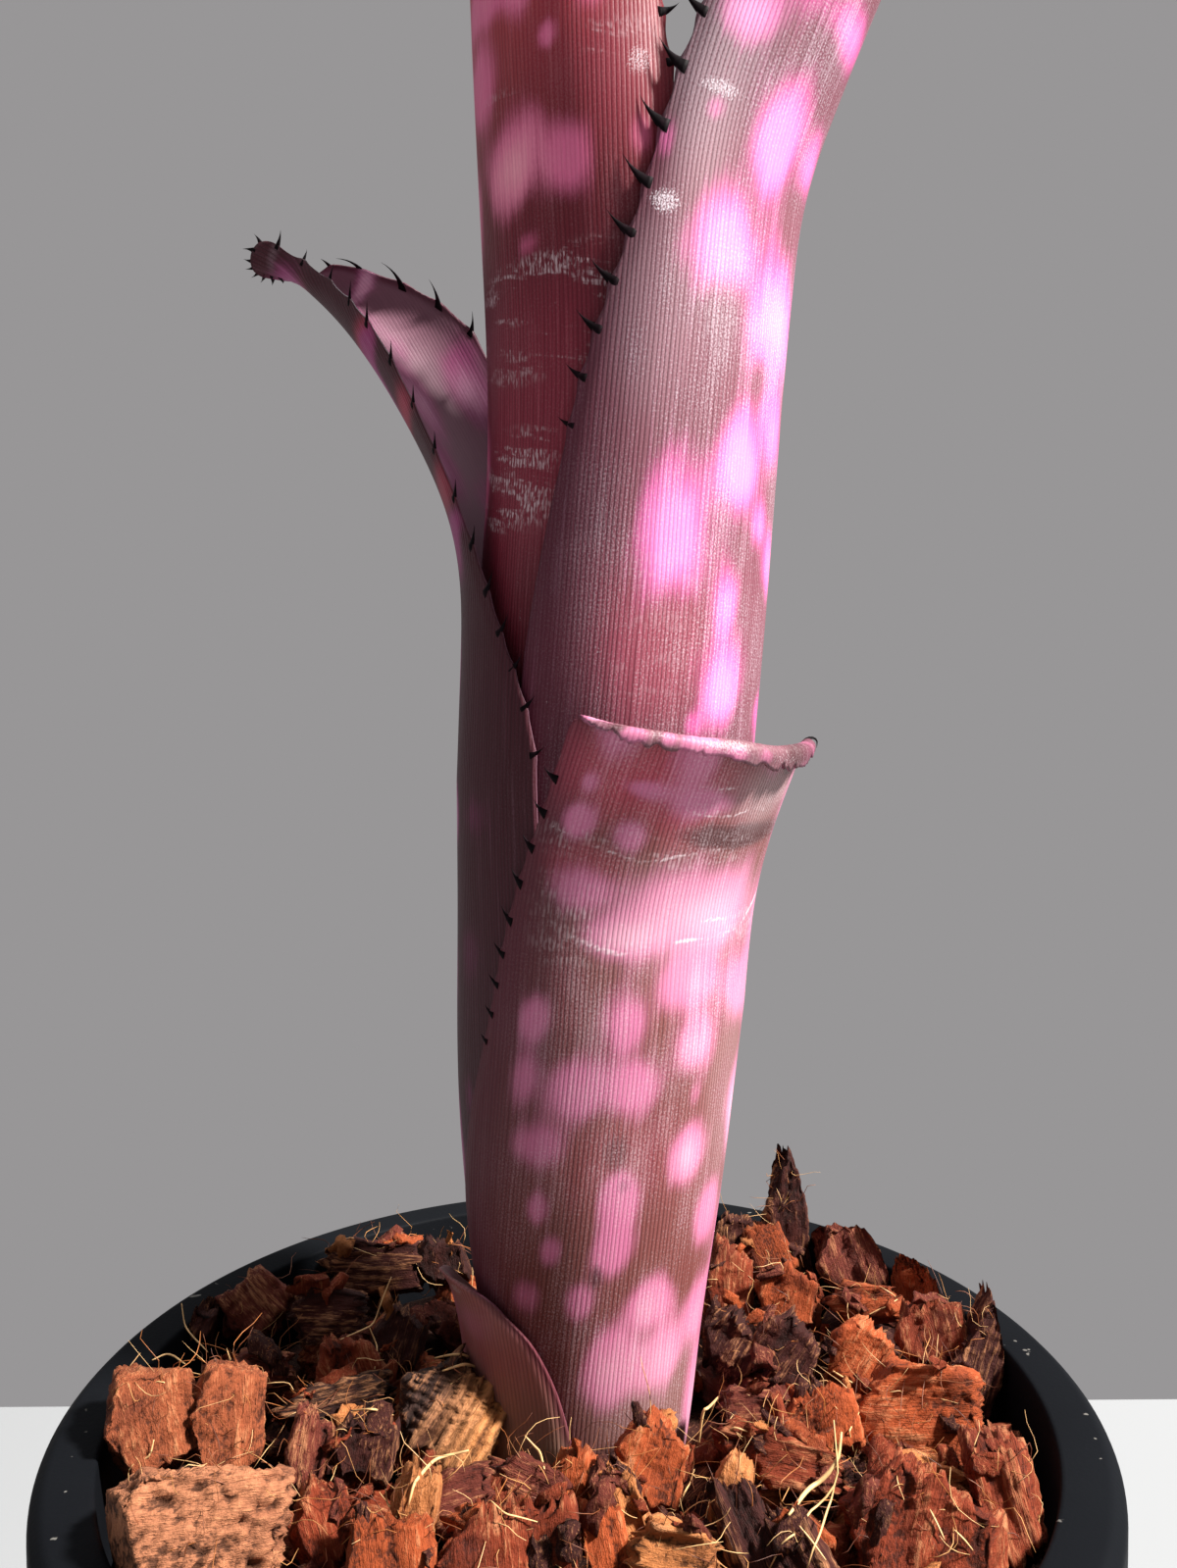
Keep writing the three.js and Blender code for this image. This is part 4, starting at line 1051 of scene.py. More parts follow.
def add_spot(masks, both, here, centre, size, strength, white, seed):
    """One soft spot, its edge uneven and its paler centre a little off the middle."""
    r = blob(both, centre, size, seed, 0.2)
    spot = np.exp(-1.1 * r ** 2.4) * strength * here
    core = np.exp(-1.9 * blob(both, (centre[0], centre[1] - size[1] * 0.1), size, seed, 0.2) ** 2)
    masks["spot"] = laid_over(masks["spot"], spot)
    masks["glow"] = laid_over(masks["glow"], core * white * here)


def paint_marks(name, grid, both, masks, chosen):
    """Cross-bands, rosy and silvery patches (the silvery ones partly painted sheen), strips and
    scratches on the outer face.
    """
    q_all, s_all = both["q"], both["s"]
    for number, (line, width, strength) in enumerate(BANDS.get(name, [])):
        off, beyond = near_line(grid, both, line, 0)
        ragged = 0.45 * wobble(q_all * 0.8, s_all * 0.3, number + 3)
        patchy = 0.65 + 0.35 * wobble(q_all * 0.7, s_all * 0.2, number + 11)
        mark = np.exp(-(((off + ragged) / width) ** 2)) * smooth(4, -2, beyond) * strength
        masks["band"] = np.maximum(masks["band"], mark * patchy * chosen)
    for key, table in (("blush", BLUSH), ("veil_and_sheen", VEIL_AND_SHEEN)):
        for box in table.get(name, []):
            q, s, half_q, half_s = box_on_leaf(grid, box)
            r = blob(both, (q, s), (half_q, half_s), 2, 0.1)
            masks[key] = np.maximum(masks[key], np.exp(-0.9 * r ** 3) * box[4] * chosen)
    for box in STRIPS.get(name, []):
        q, s, half_q, half_s = box_on_leaf(grid, box)
        beside, above = np.abs(q_all - q) / half_q, np.abs(s_all - s) / half_s
        mark = smooth(1.25, 0.7, beside) * smooth(1.15, 0.75, above) * box[4] * chosen
        masks["strip"] = np.maximum(masks["strip"], mark)
    for line in SCRATCHES.get(name, []):
        off, beyond = near_line(grid, both, line, 1)
        off = off + 0.35 * wobble(q_all * 0.3, s_all, 5)
        mark = np.exp(-((off / 0.5) ** 2)) * smooth(1.5, -0.5, beyond) * chosen
        masks["scurf"] = np.maximum(masks["scurf"], mark * 0.8)


def vertex_normals(points, faces):
    """Outward directions at the points of a mesh of quads or triangles."""
    corners = np.array([face[:4] if len(face) > 3 else (*face, face[2]) for face in faces])
    a, b, c, d = (points[corners[:, i]] for i in range(4))
    normal = np.cross(c - a, d - b)
    flat = np.linalg.norm(normal, axis=1) < 1e-12
    normal[flat] = np.cross(b - a, c - a)[flat]
    total = np.zeros(points.shape)
    for i in range(4):
        np.add.at(total, corners[:, i], normal)
    return total / np.maximum(np.linalg.norm(total, axis=1, keepdims=True), 1e-12)


def new_piece(name, points, faces, materials, attributes=(), face_materials=None):
    """A mesh object in metres from points in millimetres, with values kept on its points."""
    mesh = bpy.data.meshes.new(name)
    mesh.from_pydata((np.asarray(points) * MM).tolist(), [], faces)
    for key, values in dict(attributes).items():
        values = np.asarray(values, np.float32)
        kind = "FLOAT" if values.ndim == 1 else "FLOAT_VECTOR"
        layer = mesh.attributes.new(key, kind, "POINT")
        layer.data.foreach_set("value" if kind == "FLOAT" else "vector", values.ravel())
    for material in materials:
        mesh.materials.append(material)
    if face_materials is not None:
        mesh.polygons.foreach_set("material_index", np.asarray(face_materials, np.int32))
    mesh.polygons.foreach_set("use_smooth", np.ones(len(mesh.polygons), bool))
    mesh.update()
    piece = bpy.data.objects.new(name, mesh)
    bpy.context.scene.collection.objects.link(piece)
    return piece


class Nodes:
    """A node material in the making."""

    def __init__(self, name):
        self.material = bpy.data.materials.new(name)
        self.material.use_nodes = True
        self.tree = self.material.node_tree
        self.shader = self.tree.nodes["Principled BSDF"]

    def put(self, socket, value):
        if isinstance(value, bpy.types.NodeSocket):
            self.tree.links.new(value, socket)
        elif value is not None:
            socket.default_value = value

    def node(self, kind, *inputs, out=0, **settings):
        made = self.tree.nodes.new("ShaderNode" + kind)
        for key, value in settings.items():
            setattr(made, key, value)
        for socket, value in zip(made.inputs, inputs):
            self.put(socket, value)
        return made.outputs[out]

    def math(self, operation, *values, clamp=False):
        return self.node("Math", *values, operation=operation, use_clamp=clamp)

    def times(self, a, b):
        return self.math("MULTIPLY", a, b)

    def line(self, value, slope, start, clamp=False):
        """A straight line: the value times a slope, plus a start."""
        return self.math("MULTIPLY_ADD", value, slope, start, clamp=clamp)

    def value_of(self, name):
        return self.node("Attribute", attribute_name=name, out=2)

    def vector_of(self, name):
        return self.node("Attribute", attribute_name=name, out=1)

    def parts(self, vector):
        made = self.tree.nodes.new("ShaderNodeSeparateXYZ")
        self.put(made.inputs[0], vector)
        return made.outputs[0], made.outputs[1], made.outputs[2]

    def stretched(self, x, y, z, scale):
        scaled = [self.times(value, share) for value, share in zip((x, y, z), scale)]
        return self.node("CombineXYZ", *scaled)

    def noise(self, vector, scale=1.0, detail=3.0, rough=0.55):
        made = self.tree.nodes.new("ShaderNodeTexNoise")
        inputs = {"Vector": vector, "Scale": scale, "Detail": detail, "Roughness": rough}
        for key, value in inputs.items():
            self.put(made.inputs[key], value)
        return made.outputs[0]

    def step(self, value, low, high):
        made = self.tree.nodes.new("ShaderNodeMapRange")
        made.interpolation_type = "SMOOTHSTEP"
        for key, number in (("Value", value), ("From Min", low), ("From Max", high)):
            self.put(made.inputs[key], number)
        return made.outputs[0]

    def mix(self, factor, a, b, blend="MIX"):
        made = self.tree.nodes.new("ShaderNodeMix")
        made.data_type = "RGBA"
        made.blend_type = blend
        self.put(made.inputs[0], factor)
        self.put(made.inputs[6], a)
        self.put(made.inputs[7], b)
        return made.outputs[2]

    def bump(self, height, distance):
        """Relief from a height between 0 and 1, over a distance in millimetres."""
        made = self.tree.nodes.new("ShaderNodeBump")
        self.put(made.inputs["Height"], height)
        made.inputs["Distance"].default_value = distance * MM
        made.inputs["Strength"].default_value = 1.0
        self.put(self.shader.inputs["Normal"], made.outputs[0])

    def finish(self, colour, roughness, specular):
        self.put(self.shader.inputs["Base Color"], colour)
        self.put(self.shader.inputs["Roughness"], roughness)
        self.shader.inputs["Specular IOR Level"].default_value = specular
        return self.material


def leaf_fields(n, looks):
    """The ribs of a blade and its noises, all drawn out along it."""
    across, up, side = n.parts(n.vector_of("blade"))
    level = n.line(across, looks.get("strip_slope", 0), up)
    f = SimpleNamespace(up=up, inner=n.step(side, 0.3, -0.3))
    for name, (stretch, detail, rough) in LEAF_NOISES.items():
        place = n.stretched(across, level if name == "strip" else up, side, stretch)
        setattr(f, name, n.noise(place, 1.0, detail, rough))
    phase = n.line(across, math.pi / RIB_SPACING, n.times(f.wander, RIB_WANDER))
    f.rib = n.math("POWER", n.math("ABSOLUTE", n.math("SINE", phase)), 0.7)
    f.ridge = n.line(f.rib, 0.62, n.line(f.streak, 0.5, -0.12), clamp=True)
    return f


def leaf_ground(n, f, looks, tone):
    """The blade's colour: ribs, clouds, low part, inner face, foot, a rosy margin partly painted
    shade, and blush.
    """
    colour = n.mix(f.ridge, tone["groove"], tone["crest"])
    colour = n.mix(n.times(n.step(f.cloud, 0.42, 0.68), 0.6), colour, tone["cloud"])
    low, start, stop = looks["low"]
    colour = n.mix(n.step(f.up, start, stop), colour, hue(low), "MULTIPLY")
    colour = n.mix(n.times(f.inner, 0.65), colour, tone["inside"])
    colour = n.mix(n.times(n.step(f.up, *FOOT_ENDS), 0.75), colour, tone["foot"])
    # The rosy margin, partly painted shade.
    colour = n.mix(n.times(n.value_of("rose_and_shade"), 0.8), colour, hue(ROSE_AND_SHADE))
    blush = n.times(n.value_of("blush"), n.line(f.streak, 0.5, 0.5))
    shade, lit = BLUSH_TONES
    return n.mix(blush, colour, n.mix(f.ridge, hue(shade), hue(lit)))


def leaf_spots(n, f, colour, tone):
    """Pink spots with streaky edges and pale centres, and dark patches over them, some of them
    painted shadow.
    """
    ragged = n.line(f.streak, 0.42, n.line(f.fine, 0.16, -0.29))
    spot = n.step(n.math("ADD", n.value_of("spot"), ragged), 0.08, 0.72)
    deep = n.mix(0.4, tone["spot"], tone["groove"])
    pinks = n.mix(n.line(f.ridge, 0.6, 0.45, clamp=True), deep, tone["spot"])
    colour = n.mix(n.times(spot, n.line(f.inner, -0.2, 0.92)), colour, pinks)
    soft = n.line(f.streak, 0.5, n.line(f.fine, 0.2, -0.35))
    glow = n.step(n.math("ADD", n.value_of("glow"), soft), 0.0, 0.85)
    colour = n.mix(n.times(glow, n.line(f.rib, 0.25, 0.7)), colour, tone["centre"])
    # Dark patches, partly painted shadow.
    dark = n.math("ADD", n.value_of("dark"), n.line(f.streak, 0.6, -0.3))
    shaded = n.mix(0.4, tone["groove"], hue(LEAF_DARK))
    return n.mix(n.times(n.step(dark, 0.2, 0.9), 0.75), colour, shaded)


def leaf_pale(n, f, looks):
    """How much silver lies on the blade: cross-bands, strips, scurf, dust and a thin veil that is
    partly painted sheen.
    """
    broken = n.times(n.value_of("band"), n.line(f.dash, 1.5, 0.15))
    band = n.times(n.step(broken, 0.3, 0.75), n.line(f.rib, 0.4, 0.5))
    strips = n.times(n.step(f.strip, 0.49, 0.57), n.step(f.tick, 0.44, 0.6))
    strips = n.times(strips, n.times(n.value_of("strip"), n.line(f.rib, 0.75, 0.1)))
    scurf = n.step(n.times(n.value_of("scurf"), f.fleck), 0.36, 0.58)
    lying = n.line(f.cloud, 0.5, n.line(f.streak, 0.35, f.fleck))
    dust = n.line(f.rib, 0.7 * looks["dust"], 0.2 * looks["dust"])
    clean = n.line(n.value_of("rose_and_shade"), -0.85, 1)
    sparkle = n.times(n.step(lying, 0.85, 1.2), n.times(dust, clean))
    thin = n.line(f.rib, 0.45, n.line(f.fleck, 1.3, -0.5), clamp=True)
    # The thin veil, partly painted sheen.
    pale = n.times(n.value_of("veil_and_sheen"), thin)
    for part in (band, strips, scurf, sparkle):
        pale = n.math("MAXIMUM", pale, part)
    return pale


def leaf_material(name, looks):
    """A waxy ribbed blade with soft spots, broken silvery bands, scurf and dust."""
    n = Nodes(name)
    tone = {key: hue(text) for key, text in zip(TONES, looks["tones"])}
    f = leaf_fields(n, looks)
    colour = leaf_spots(n, f, leaf_ground(n, f, looks, tone), tone)
    pale = leaf_pale(n, f, looks)
    colour = n.mix(n.times(pale, n.line(f.inner, -0.5, 0.85)), colour, tone["silver"])
    height = n.line(pale, 0.4, n.line(f.rib, 0.75, n.times(f.fine, 0.3)))
    n.bump(n.times(height, n.line(f.inner, -0.5, 1)), LEAF_RELIEF)
    return n.finish(colour, n.line(pale, 0.2, n.line(f.fine, 0.2, 0.38)), 0.22)


def spine_material():
    """Near-black horny spines with a dull shine."""
    n = Nodes("spine_horn")
    place = n.node("TexCoord", out=3)
    mottle = n.noise(place, 900, 3)
    colour = n.mix(n.step(mottle, 0.45, 0.8), *map(hue, SPINE_TONES))
    n.bump(mottle, 0.05)
    return n.finish(colour, 0.6, 0.06)


def pot_material():
    """Satin black plastic with faint mould texture and specks of dust."""
    n = Nodes("pot_plastic")
    place = n.node("TexCoord", out=3)
    grain = n.noise(place, 1400, 3)
    cloud = n.noise(place, 35, 3)
    speck = n.noise(place, 420, 2, 0.4)
    black, grey, dust = map(hue, POT_TONES)
    colour = n.mix(cloud, black, grey)
    dusty = n.step(speck, 0.735, 0.76)
    colour = n.mix(n.times(dusty, 0.25), colour, dust)
    n.bump(n.math("ADD", grain, n.times(dusty, 0.6)), 0.05)
    n.shader.inputs["IOR"].default_value = 1.3
    return n.finish(colour, n.line(cloud, 0.2, 0.4), 0.05)


def husk_material():
    """Coconut husk: strands along each chip, painted shade in its low points and pits, and golden
    crests partly painted highlight.
    """
    n = Nodes("husk_fibre")
    x, y, z = n.parts(n.vector_of("grain"))
    pit, patch, crest = map(hue, HUSK_TONES)
    tint = n.vector_of("tint")
    relief = n.value_of("relief")
    strand = n.noise(n.stretched(x, y, z, (2.6, 0.24, 2.6)), detail=5, rough=0.62)
    fibre = n.noise(n.stretched(x, y, z, (8, 0.7, 8)), detail=2)
    grit = n.noise(n.stretched(x, y, z, (2.2, 1.6, 2.2)), detail=5, rough=0.62)
    blotch = n.noise(n.stretched(x, y, z, (0.17, 0.12, 0.17)), detail=2)
    shade = n.line(strand, 0.75, n.line(fibre, 0.75, 0.25))
    # Low points of a chip are darker and high ones lighter: painted shade and light.
    shade = n.line(relief, 0.3, shade)
    colour = n.mix(1.0, tint, n.node("CombineXYZ", shade, shade, shade), "MULTIPLY")
    # Dark pits where the chip is low: painted shade in its hollows.
    pits = n.line(relief, 0.4, grit)
    colour = n.mix(n.times(n.step(pits, 0.4, 0.2), 0.7), colour, pit)
    colour = n.mix(n.times(n.step(blotch, 0.5, 0.72), 0.5), colour, patch)
    # Golden crests where the chip stands high: partly painted highlight.
    crests = n.line(relief, 0.25, n.line(fibre, 0.3, strand))
    colour = n.mix(n.times(n.step(crests, 0.68, 0.95), 0.6), colour, crest)
    height = n.line(fibre, 0.5, n.line(grit, 0.8, strand))
    n.bump(height, 0.45)
    return n.finish(colour, 0.78, 0.22)


def fibre_material():
    """Loose coir fibres, pale gold with darker stretches."""
    n = Nodes("coir_fibre")
    tint = n.vector_of("tint")
    place = n.node("TexCoord", out=3)
    run = n.noise(place, 260, 3)
    colour = n.mix(n.times(n.step(run, 0.5, 0.72), 0.6), tint, hue(FIBRE_DARK))
    return n.finish(colour, 0.5, 0.4)


def stem_material():
    """The dull brown stem."""
    n = Nodes("stem_bark")
    place = n.node("TexCoord", out=3)
    grain = n.noise(place, 300, 5)
    colour = n.mix(grain, *map(hue, STEM_TONES))
    n.bump(grain, 0.4)
    return n.finish(colour, 0.75, 0.3)


def floor_material():
    n = Nodes("plain_floor")
    return n.finish(hue(FLOOR["colour"]), 0.75, 0.2)


def rounded(profile, radius, steps):
    """A closed profile with its corners rounded, those on the axis left sharp."""
    points = np.array(profile, float)
    made = []
    for i, p in enumerate(points):
        if p[0] == 0:
            made.append(p)
            continue
        a, b = points[i - 1] - p, points[(i + 1) % len(points)] - p
        cut = min(radius, 0.45 * np.linalg.norm(a), 0.45 * np.linalg.norm(b))
        start, stop = p + unit(a) * cut, p + unit(b) * cut
        for t in np.linspace(0, 1, steps):
            made.append((1 - t) ** 2 * start + 2 * t * (1 - t) * p + t * t * stop)
    return np.array(made)


def revolved(profile, segments):
    """Points and faces of a profile turned round the Z axis; its ends lie on the axis."""
    angle = np.arange(segments) * 2 * math.pi / segments
    ring = profile[profile[:, 0] > 0]
    x = ring[:, 0][:, None] * np.cos(angle)
    y = ring[:, 0][:, None] * np.sin(angle)
    z = np.repeat(ring[:, 1][:, None], segments, 1)
    points = np.stack([x, y, z], -1).reshape(-1, 3)
    faces = tube_faces(len(ring), segments)
    bottom, top = len(points), len(points) + 1
    last = (len(ring) - 1) * segments
    for k in range(segments):
        after = (k + 1) % segments
        faces.append((bottom, after, k))
        faces.append((top, last + k, last + after))
    ends = [(0, 0, ring[0, 1]), (0, 0, ring[-1, 1])]
    return np.concatenate([points, ends]), faces


def on_ring(radius, angle, z):
    """The point at a radius, an angle and a height."""
    return radius * math.cos(angle), radius * math.sin(angle), z


def make_pot():
    points, faces = revolved(rounded(POT_PROFILE, POT_ROUNDING, 4), POT_SEGMENTS)
    pot = new_piece("nursery_pot", points, turned_out(points, faces), [pot_material()])
    drills = []
    radius, ring, bottom, top = (DRAIN[key] for key in ("radius", "ring", "bottom", "top"))
    profile = np.array([(0, bottom), (radius, bottom), (radius, top), (0, top)], float)
    for k in range(DRAIN["count"]):
        angle = (k + 0.5) * 2 * math.pi / DRAIN["count"]
        points, faces = revolved(profile, DRAIN["segments"])
        points += on_ring(ring, angle, 0)
        drills.append((points, turned_out(points, faces)))
    points, faces = gathered(drills)
    cutter = new_piece("drain_cutter", points, faces, [])
    cut = pot.modifiers.new("drain", "BOOLEAN")
    cut.operation = "DIFFERENCE"
    cut.object = cutter
    graph = bpy.context.evaluated_depsgraph_get()
    mesh = bpy.data.meshes.new_from_object(pot.evaluated_get(graph))
    pot.modifiers.clear()
    pot.data = mesh
    bpy.data.objects.remove(cutter)
    mesh.set_sharp_from_angle(angle=math.radians(40))
    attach(pot, "root")
    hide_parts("pot")


def gathered(parts):
    """Several meshes as one."""
    points, faces, first = [], [], 0
    for some_points, some_faces in parts:
        points.append(some_points)
        faces += [tuple(i + first for i in face) for face in some_faces]
        first += len(some_points)
    return np.concatenate(points), faces


def seeded(seed):
    """The repeatable random sequence that the chips of the solids are drawn from."""
    state = seed
    while True:
        state = (state * 1664525 + 1013904223) % 4294967296
        yield state / 4294967296


def slab(width, height, thickness, draw, point=0.0):
    """The ten corners and the faces of one irregular chip."""
    corners = 5
    radii = [0.82 + 0.3 * next(draw) for _ in range(corners)]
    points = []
    for depth, scale in ((thickness / 2, 0.9), (-thickness / 2, 1)):
        for k in range(corners):
            angle = (k + 0.5) * 2 * math.pi / corners
            x = math.copysign(abs(math.cos(angle)) ** 0.6, math.cos(angle))
            y = math.copysign(abs(math.sin(angle)) ** 0.6, math.sin(angle))
            points.append((
                x * radii[k] * scale * width * (1 - point * (y + 1) / 2) / 2,
                y * radii[k] * scale * height / 2,
                depth * (0.8 + 0.4 * next(draw)),
            ))
    faces = []
    for k in range(1, corners - 1):
        faces += [(0, k, k + 1), (corners, corners + k + 1, corners + k)]
    for k in range(corners):
        after = (k + 1) % corners
        faces += [(k, corners + k, corners + after), (k, corners + after, after)]
    return np.array(points), turned_out(np.array(points), faces)


def divided(points, faces, cells):
    """Each triangle cut into smaller ones, with the shared edges welded."""
    i, j = np.array([(i, j) for i in range(cells + 1) for j in range(cells + 1 - i)]).T
    number = {(a, b): k for k, (a, b) in enumerate(zip(i, j))}
    small = []
    for a, b in number:
        if a + b < cells:
            small.append((number[a, b], number[a + 1, b], number[a, b + 1]))
        if a + b < cells - 1:
            small.append((number[a + 1, b], number[a + 1, b + 1], number[a, b + 1]))
    small = np.array(small)
    weights = np.stack([1 - (i + j) / cells, i / cells, j / cells], 1)
    corners = points[np.array(faces)]
    many = np.einsum("wk,fkc->fwc", weights, corners).reshape(-1, 3)
    index = (small[None] + (np.arange(len(faces)) * len(i))[:, None, None]).reshape(-1, 3)
    kept, welded = np.unique(np.round(many, 4), axis=0, return_inverse=True)
    return kept, welded.reshape(-1)[index]


def softened(points, faces, times):
    """Points moved towards the mean of their neighbours, so that corners round off."""
    pairs = np.concatenate([faces[:, [0, 1]], faces[:, [1, 2]], faces[:, [2, 0]]])
    pairs = np.unique(np.concatenate([pairs, pairs[:, ::-1]]), axis=0)
    count = np.bincount(pairs[:, 0], minlength=len(points))[:, None]
    for _ in range(times):
        total = np.zeros(points.shape)
        np.add.at(total, pairs[:, 0], points[pairs[:, 1]])
        points = points * 0.5 + total / count * 0.5
    return points


def rough_amount(p, seed, grain):
    """How far a point of a chip stands out: lumps, torn layers, strands along y, and crumbs."""
    crumb, pitted, ridged = grain
    lump = noise.noise(Vector((p[0] * 0.14 + seed, p[1] * 0.11, p[2] * 0.14)))
    layer = noise.noise(Vector((p[0] * 0.3, p[1] * 0.07 + seed, p[2] * 0.3)))
    layer = math.tanh(5 * layer) * 0.5
    strand = noise.noise(Vector((p[0] * 1.0, p[1] * 0.09 + seed, p[2] * 1.0)))
    grit = noise.noise(Vector((p[0] * 1.2, p[1] * 1.0, p[2] * 1.2 + seed)))
    pit = max(0.0, noise.noise(Vector((p[0] * 0.7 + seed, p[1] * 0.7, p[2] * 0.7))) - 0.05)
    fine = (0.7 - crumb * 0.5) * strand + (0.2 + crumb * 0.4) * grit - pitted * pit
    if ridged:
        fine += ridged * (abs(math.sin(p[0] * 1.9 + 2.5 * strand)) - 0.5)
    return 1.3 * lump + (0.8 - crumb * 0.6) * layer + fine, 0.8 * layer + fine


def chip(size, draw, seed, axis, cell, grain=LOOSE_GRAIN, point=0.0):
    """A rough fibrous chip: points, faces, place in its own grain and height of its relief."""
    width, height, thickness = size
    *relief, frayed = grain
    points, faces = slab(width, height, thickness, draw, point)
    cells = max(5, round(max(width, height) * 0.62 / cell))
    points, faces = divided(points, faces, cells)
    points = softened(points, faces, max(1, round(0.9 / cell)))
    along_grain = points if axis == 1 else points[:, [1, 0, 2]]
    normals = vertex_normals(points, [tuple(f) for f in faces.tolist()])
    amounts = np.array([rough_amount(p, seed * 7.3, relief) for p in along_grain])
    fray = np.array([
        noise.noise(Vector((p[0] * 1.5 + seed, p[2] * 1.5, seed * 3.1))) for p in along_grain
    ])
    points = points + normals * amounts[:, :1]
    long_side = 1 if axis == 1 else 0
    at_end = smooth(0.4, 0.95, np.abs(points[:, long_side]) / (size[long_side] / 2))
    points[:, long_side] += np.sign(points[:, long_side]) * at_end * fray * frayed
    return points, faces, along_grain + seed * 31.7, amounts[:, 1]


def turn_to(points, direction, turn):
    """Points turned so that their broad face looks along a direction."""
    z = direction / np.linalg.norm(direction)
    x = unit(np.cross((0, 0, 1), z))
    y = np.cross(z, x)
    angle = math.radians(turn)
    cos, sin = math.cos(angle), math.sin(angle)
    px = points[:, 0] * cos - points[:, 1] * sin
    py = points[:, 0] * sin + points[:, 1] * cos
    return px[:, None] * x + py[:, None] * y + points[:, 2:3] * z


def inside_pot(points):
    """Points kept inside the pot's wall and off the leaf bases."""
    points = points.copy()
    wall = np.interp(points[:, 2], [z for _, z in WALL_INSIDE], [r for r, _ in WALL_INSIDE])
    limit = wall - WALL_ROOM
    radius = np.hypot(points[:, 0], points[:, 1])
    points[:, :2] *= np.minimum(1, limit / np.maximum(radius, 1e-6))[:, None]
    away = points[:, :2] - BED_CENTRE
    radius = np.hypot(away[:, 0], away[:, 1])
    tube = along(TUBE_RADIUS, np.clip(points[:, 2], 95, 160)) + LEAF_ROOM
    grow = np.where(radius < tube, tube / np.maximum(radius, 1e-6), 1)
    points[:, :2] = BED_CENTRE + away * grow[:, None]
    return points


def laid(piece, kind, direction, turn, place):
    """A chip turned and put in its place, in the colour of its kind."""
    points, faces, grain, relief = piece
    points = turn_to(points, direction, turn) + place
    return points, faces, grain, relief, rgb(CHIP_COLOURS[kind])


def striped_tint(points):
    """Pale fibres across a chip that is dark at one end and bright at the other."""
    x, y = points[:, :1], points[:, 1:2]
    dark, bright = map(rgb, STRIPED_ENDS)
    stripes = 0.45 + 0.95 * np.sin(1.9 * x + 0.12 * y) ** 2
    return (dark + (bright - dark) * smooth(-5, 6, x + 0.1 * y)) * stripes


def top_chips():
    """The chips that the photo shows, each facing the camera at its own place."""
    draw = seeded(11)
    made = []
    for number, (left, top, right, bottom, turn, lift, kind, axis) in enumerate(TOP_CHIPS.values()):
        place, scale = seen_at((left + right) / 2, (top + bottom) / 2, CHIP_PLANE + lift)
        width, height = (right - left) * scale, (bottom - top) * scale
        share, extra = TOP_THICKNESS
        thickness = share * min(width, height) + extra
        cell = CELLS["near" if top > NEAR_ROW else "far"]
        size = (width * TOP_GROWTH, height * TOP_GROWTH, thickness)
        piece = chip(size, draw, number + 1, axis, cell, CHIP_GRAIN[kind])
        direction = unit(EYE - place)
        put = laid(piece, kind, direction, -turn, place - direction * thickness / 2)
        made.append((*put[:4], striped_tint(piece[0])) if kind == "striped" else put)
    return made


def drawn(bounds, draw):
    """The next value between the least and the least plus how much more at most."""
    least, more = bounds
    return least + more * next(draw)


def fill_chips():
    """Chips under and between the top ones, spread over the bed on a spiral."""
    draw = seeded(FILL["seed"])
    low, high = FILL["size"]
    made = []
    for k in range(FILL["count"]):
        radius = FILL["reach"] * math.sqrt((k + 0.5) / FILL["count"])
        angle = k * GOLDEN_ANGLE
        width = low + (high - low) * next(draw)
        height = width * drawn(FLATNESS, draw)
        thickness = drawn(FILL["thickness"], draw)
        piece = chip((width, height, thickness), draw, 60 + k, k % 2, CELLS["loose"])
        lean = drawn(FILL["lean"], draw)
        heading = 2 * math.pi * next(draw)
        direction = np.array(on_ring(lean, heading, 1))
        turn = 360 * next(draw)
        place = on_ring(radius, angle, drawn(FILL["level"], draw))
        made.append(laid(piece, FILL["kinds"][k % len(FILL["kinds"])], direction, turn, place))
    return made


def front_chips():
    """Small chips near the front wall, below the edge of the photo."""
    draw = seeded(FRONT_FILL["seed"])
    start, stop = (math.radians(angle) for angle in FRONT_FILL["arc"])
    low, high = FRONT_FILL["size"]
    kinds = FRONT_FILL["kinds"]
    made = []
    for radius in FRONT_FILL["rows"]:
        count = round(radius * (stop - start) / FRONT_FILL["step"])
        for k in range(count):
            angle = start + (stop - start) * (k + next(draw)) / count
            width = low + (high - low) * next(draw)
            height = width * drawn(FLATNESS, draw)
            size = (width, height, drawn(FRONT_FILL["thickness"], draw))
            piece = chip(size, draw, 140 + len(made), k % 2, CELLS["loose"])
            heading = 2 * math.pi * next(draw)
            lean = drawn(FRONT_FILL["lean"], draw)
            direction = np.array(on_ring(lean, heading, 1))
            turn = 360 * next(draw)
            place = on_ring(radius, angle, drawn(FRONT_FILL["level"], draw))
            made.append(laid(piece, kinds[k % len(kinds)], direction, turn, place))
    return made


def standing_chips():
    """The two dark chips that stand upright at the right."""
    made = []
    for number, item in enumerate(STANDING_CHIPS):
        grain = CHIP_GRAIN["dark"]
        cell = CELLS["standing"]
        piece = chip(item["size"], seeded(3), 120 + number, 1, cell, grain, item["point"])
        nod = math.radians(item["nod"])
        direction = np.array([0, -math.sin(nod), math.cos(nod)])
        made.append(laid(piece, "dark", direction, item["turn"], item["place"]))
    return made


def on_clean_chip(point):
    """Whether a point shows on one of the chips that carry no crumbs."""
    x, y = to_photo(point)
    clean = [row[:4] for row in TOP_CHIPS.values() if row[6] in CLEAN_KINDS]
    return any(left < x < right and top < y < bottom for left, top, right, bottom in clean)


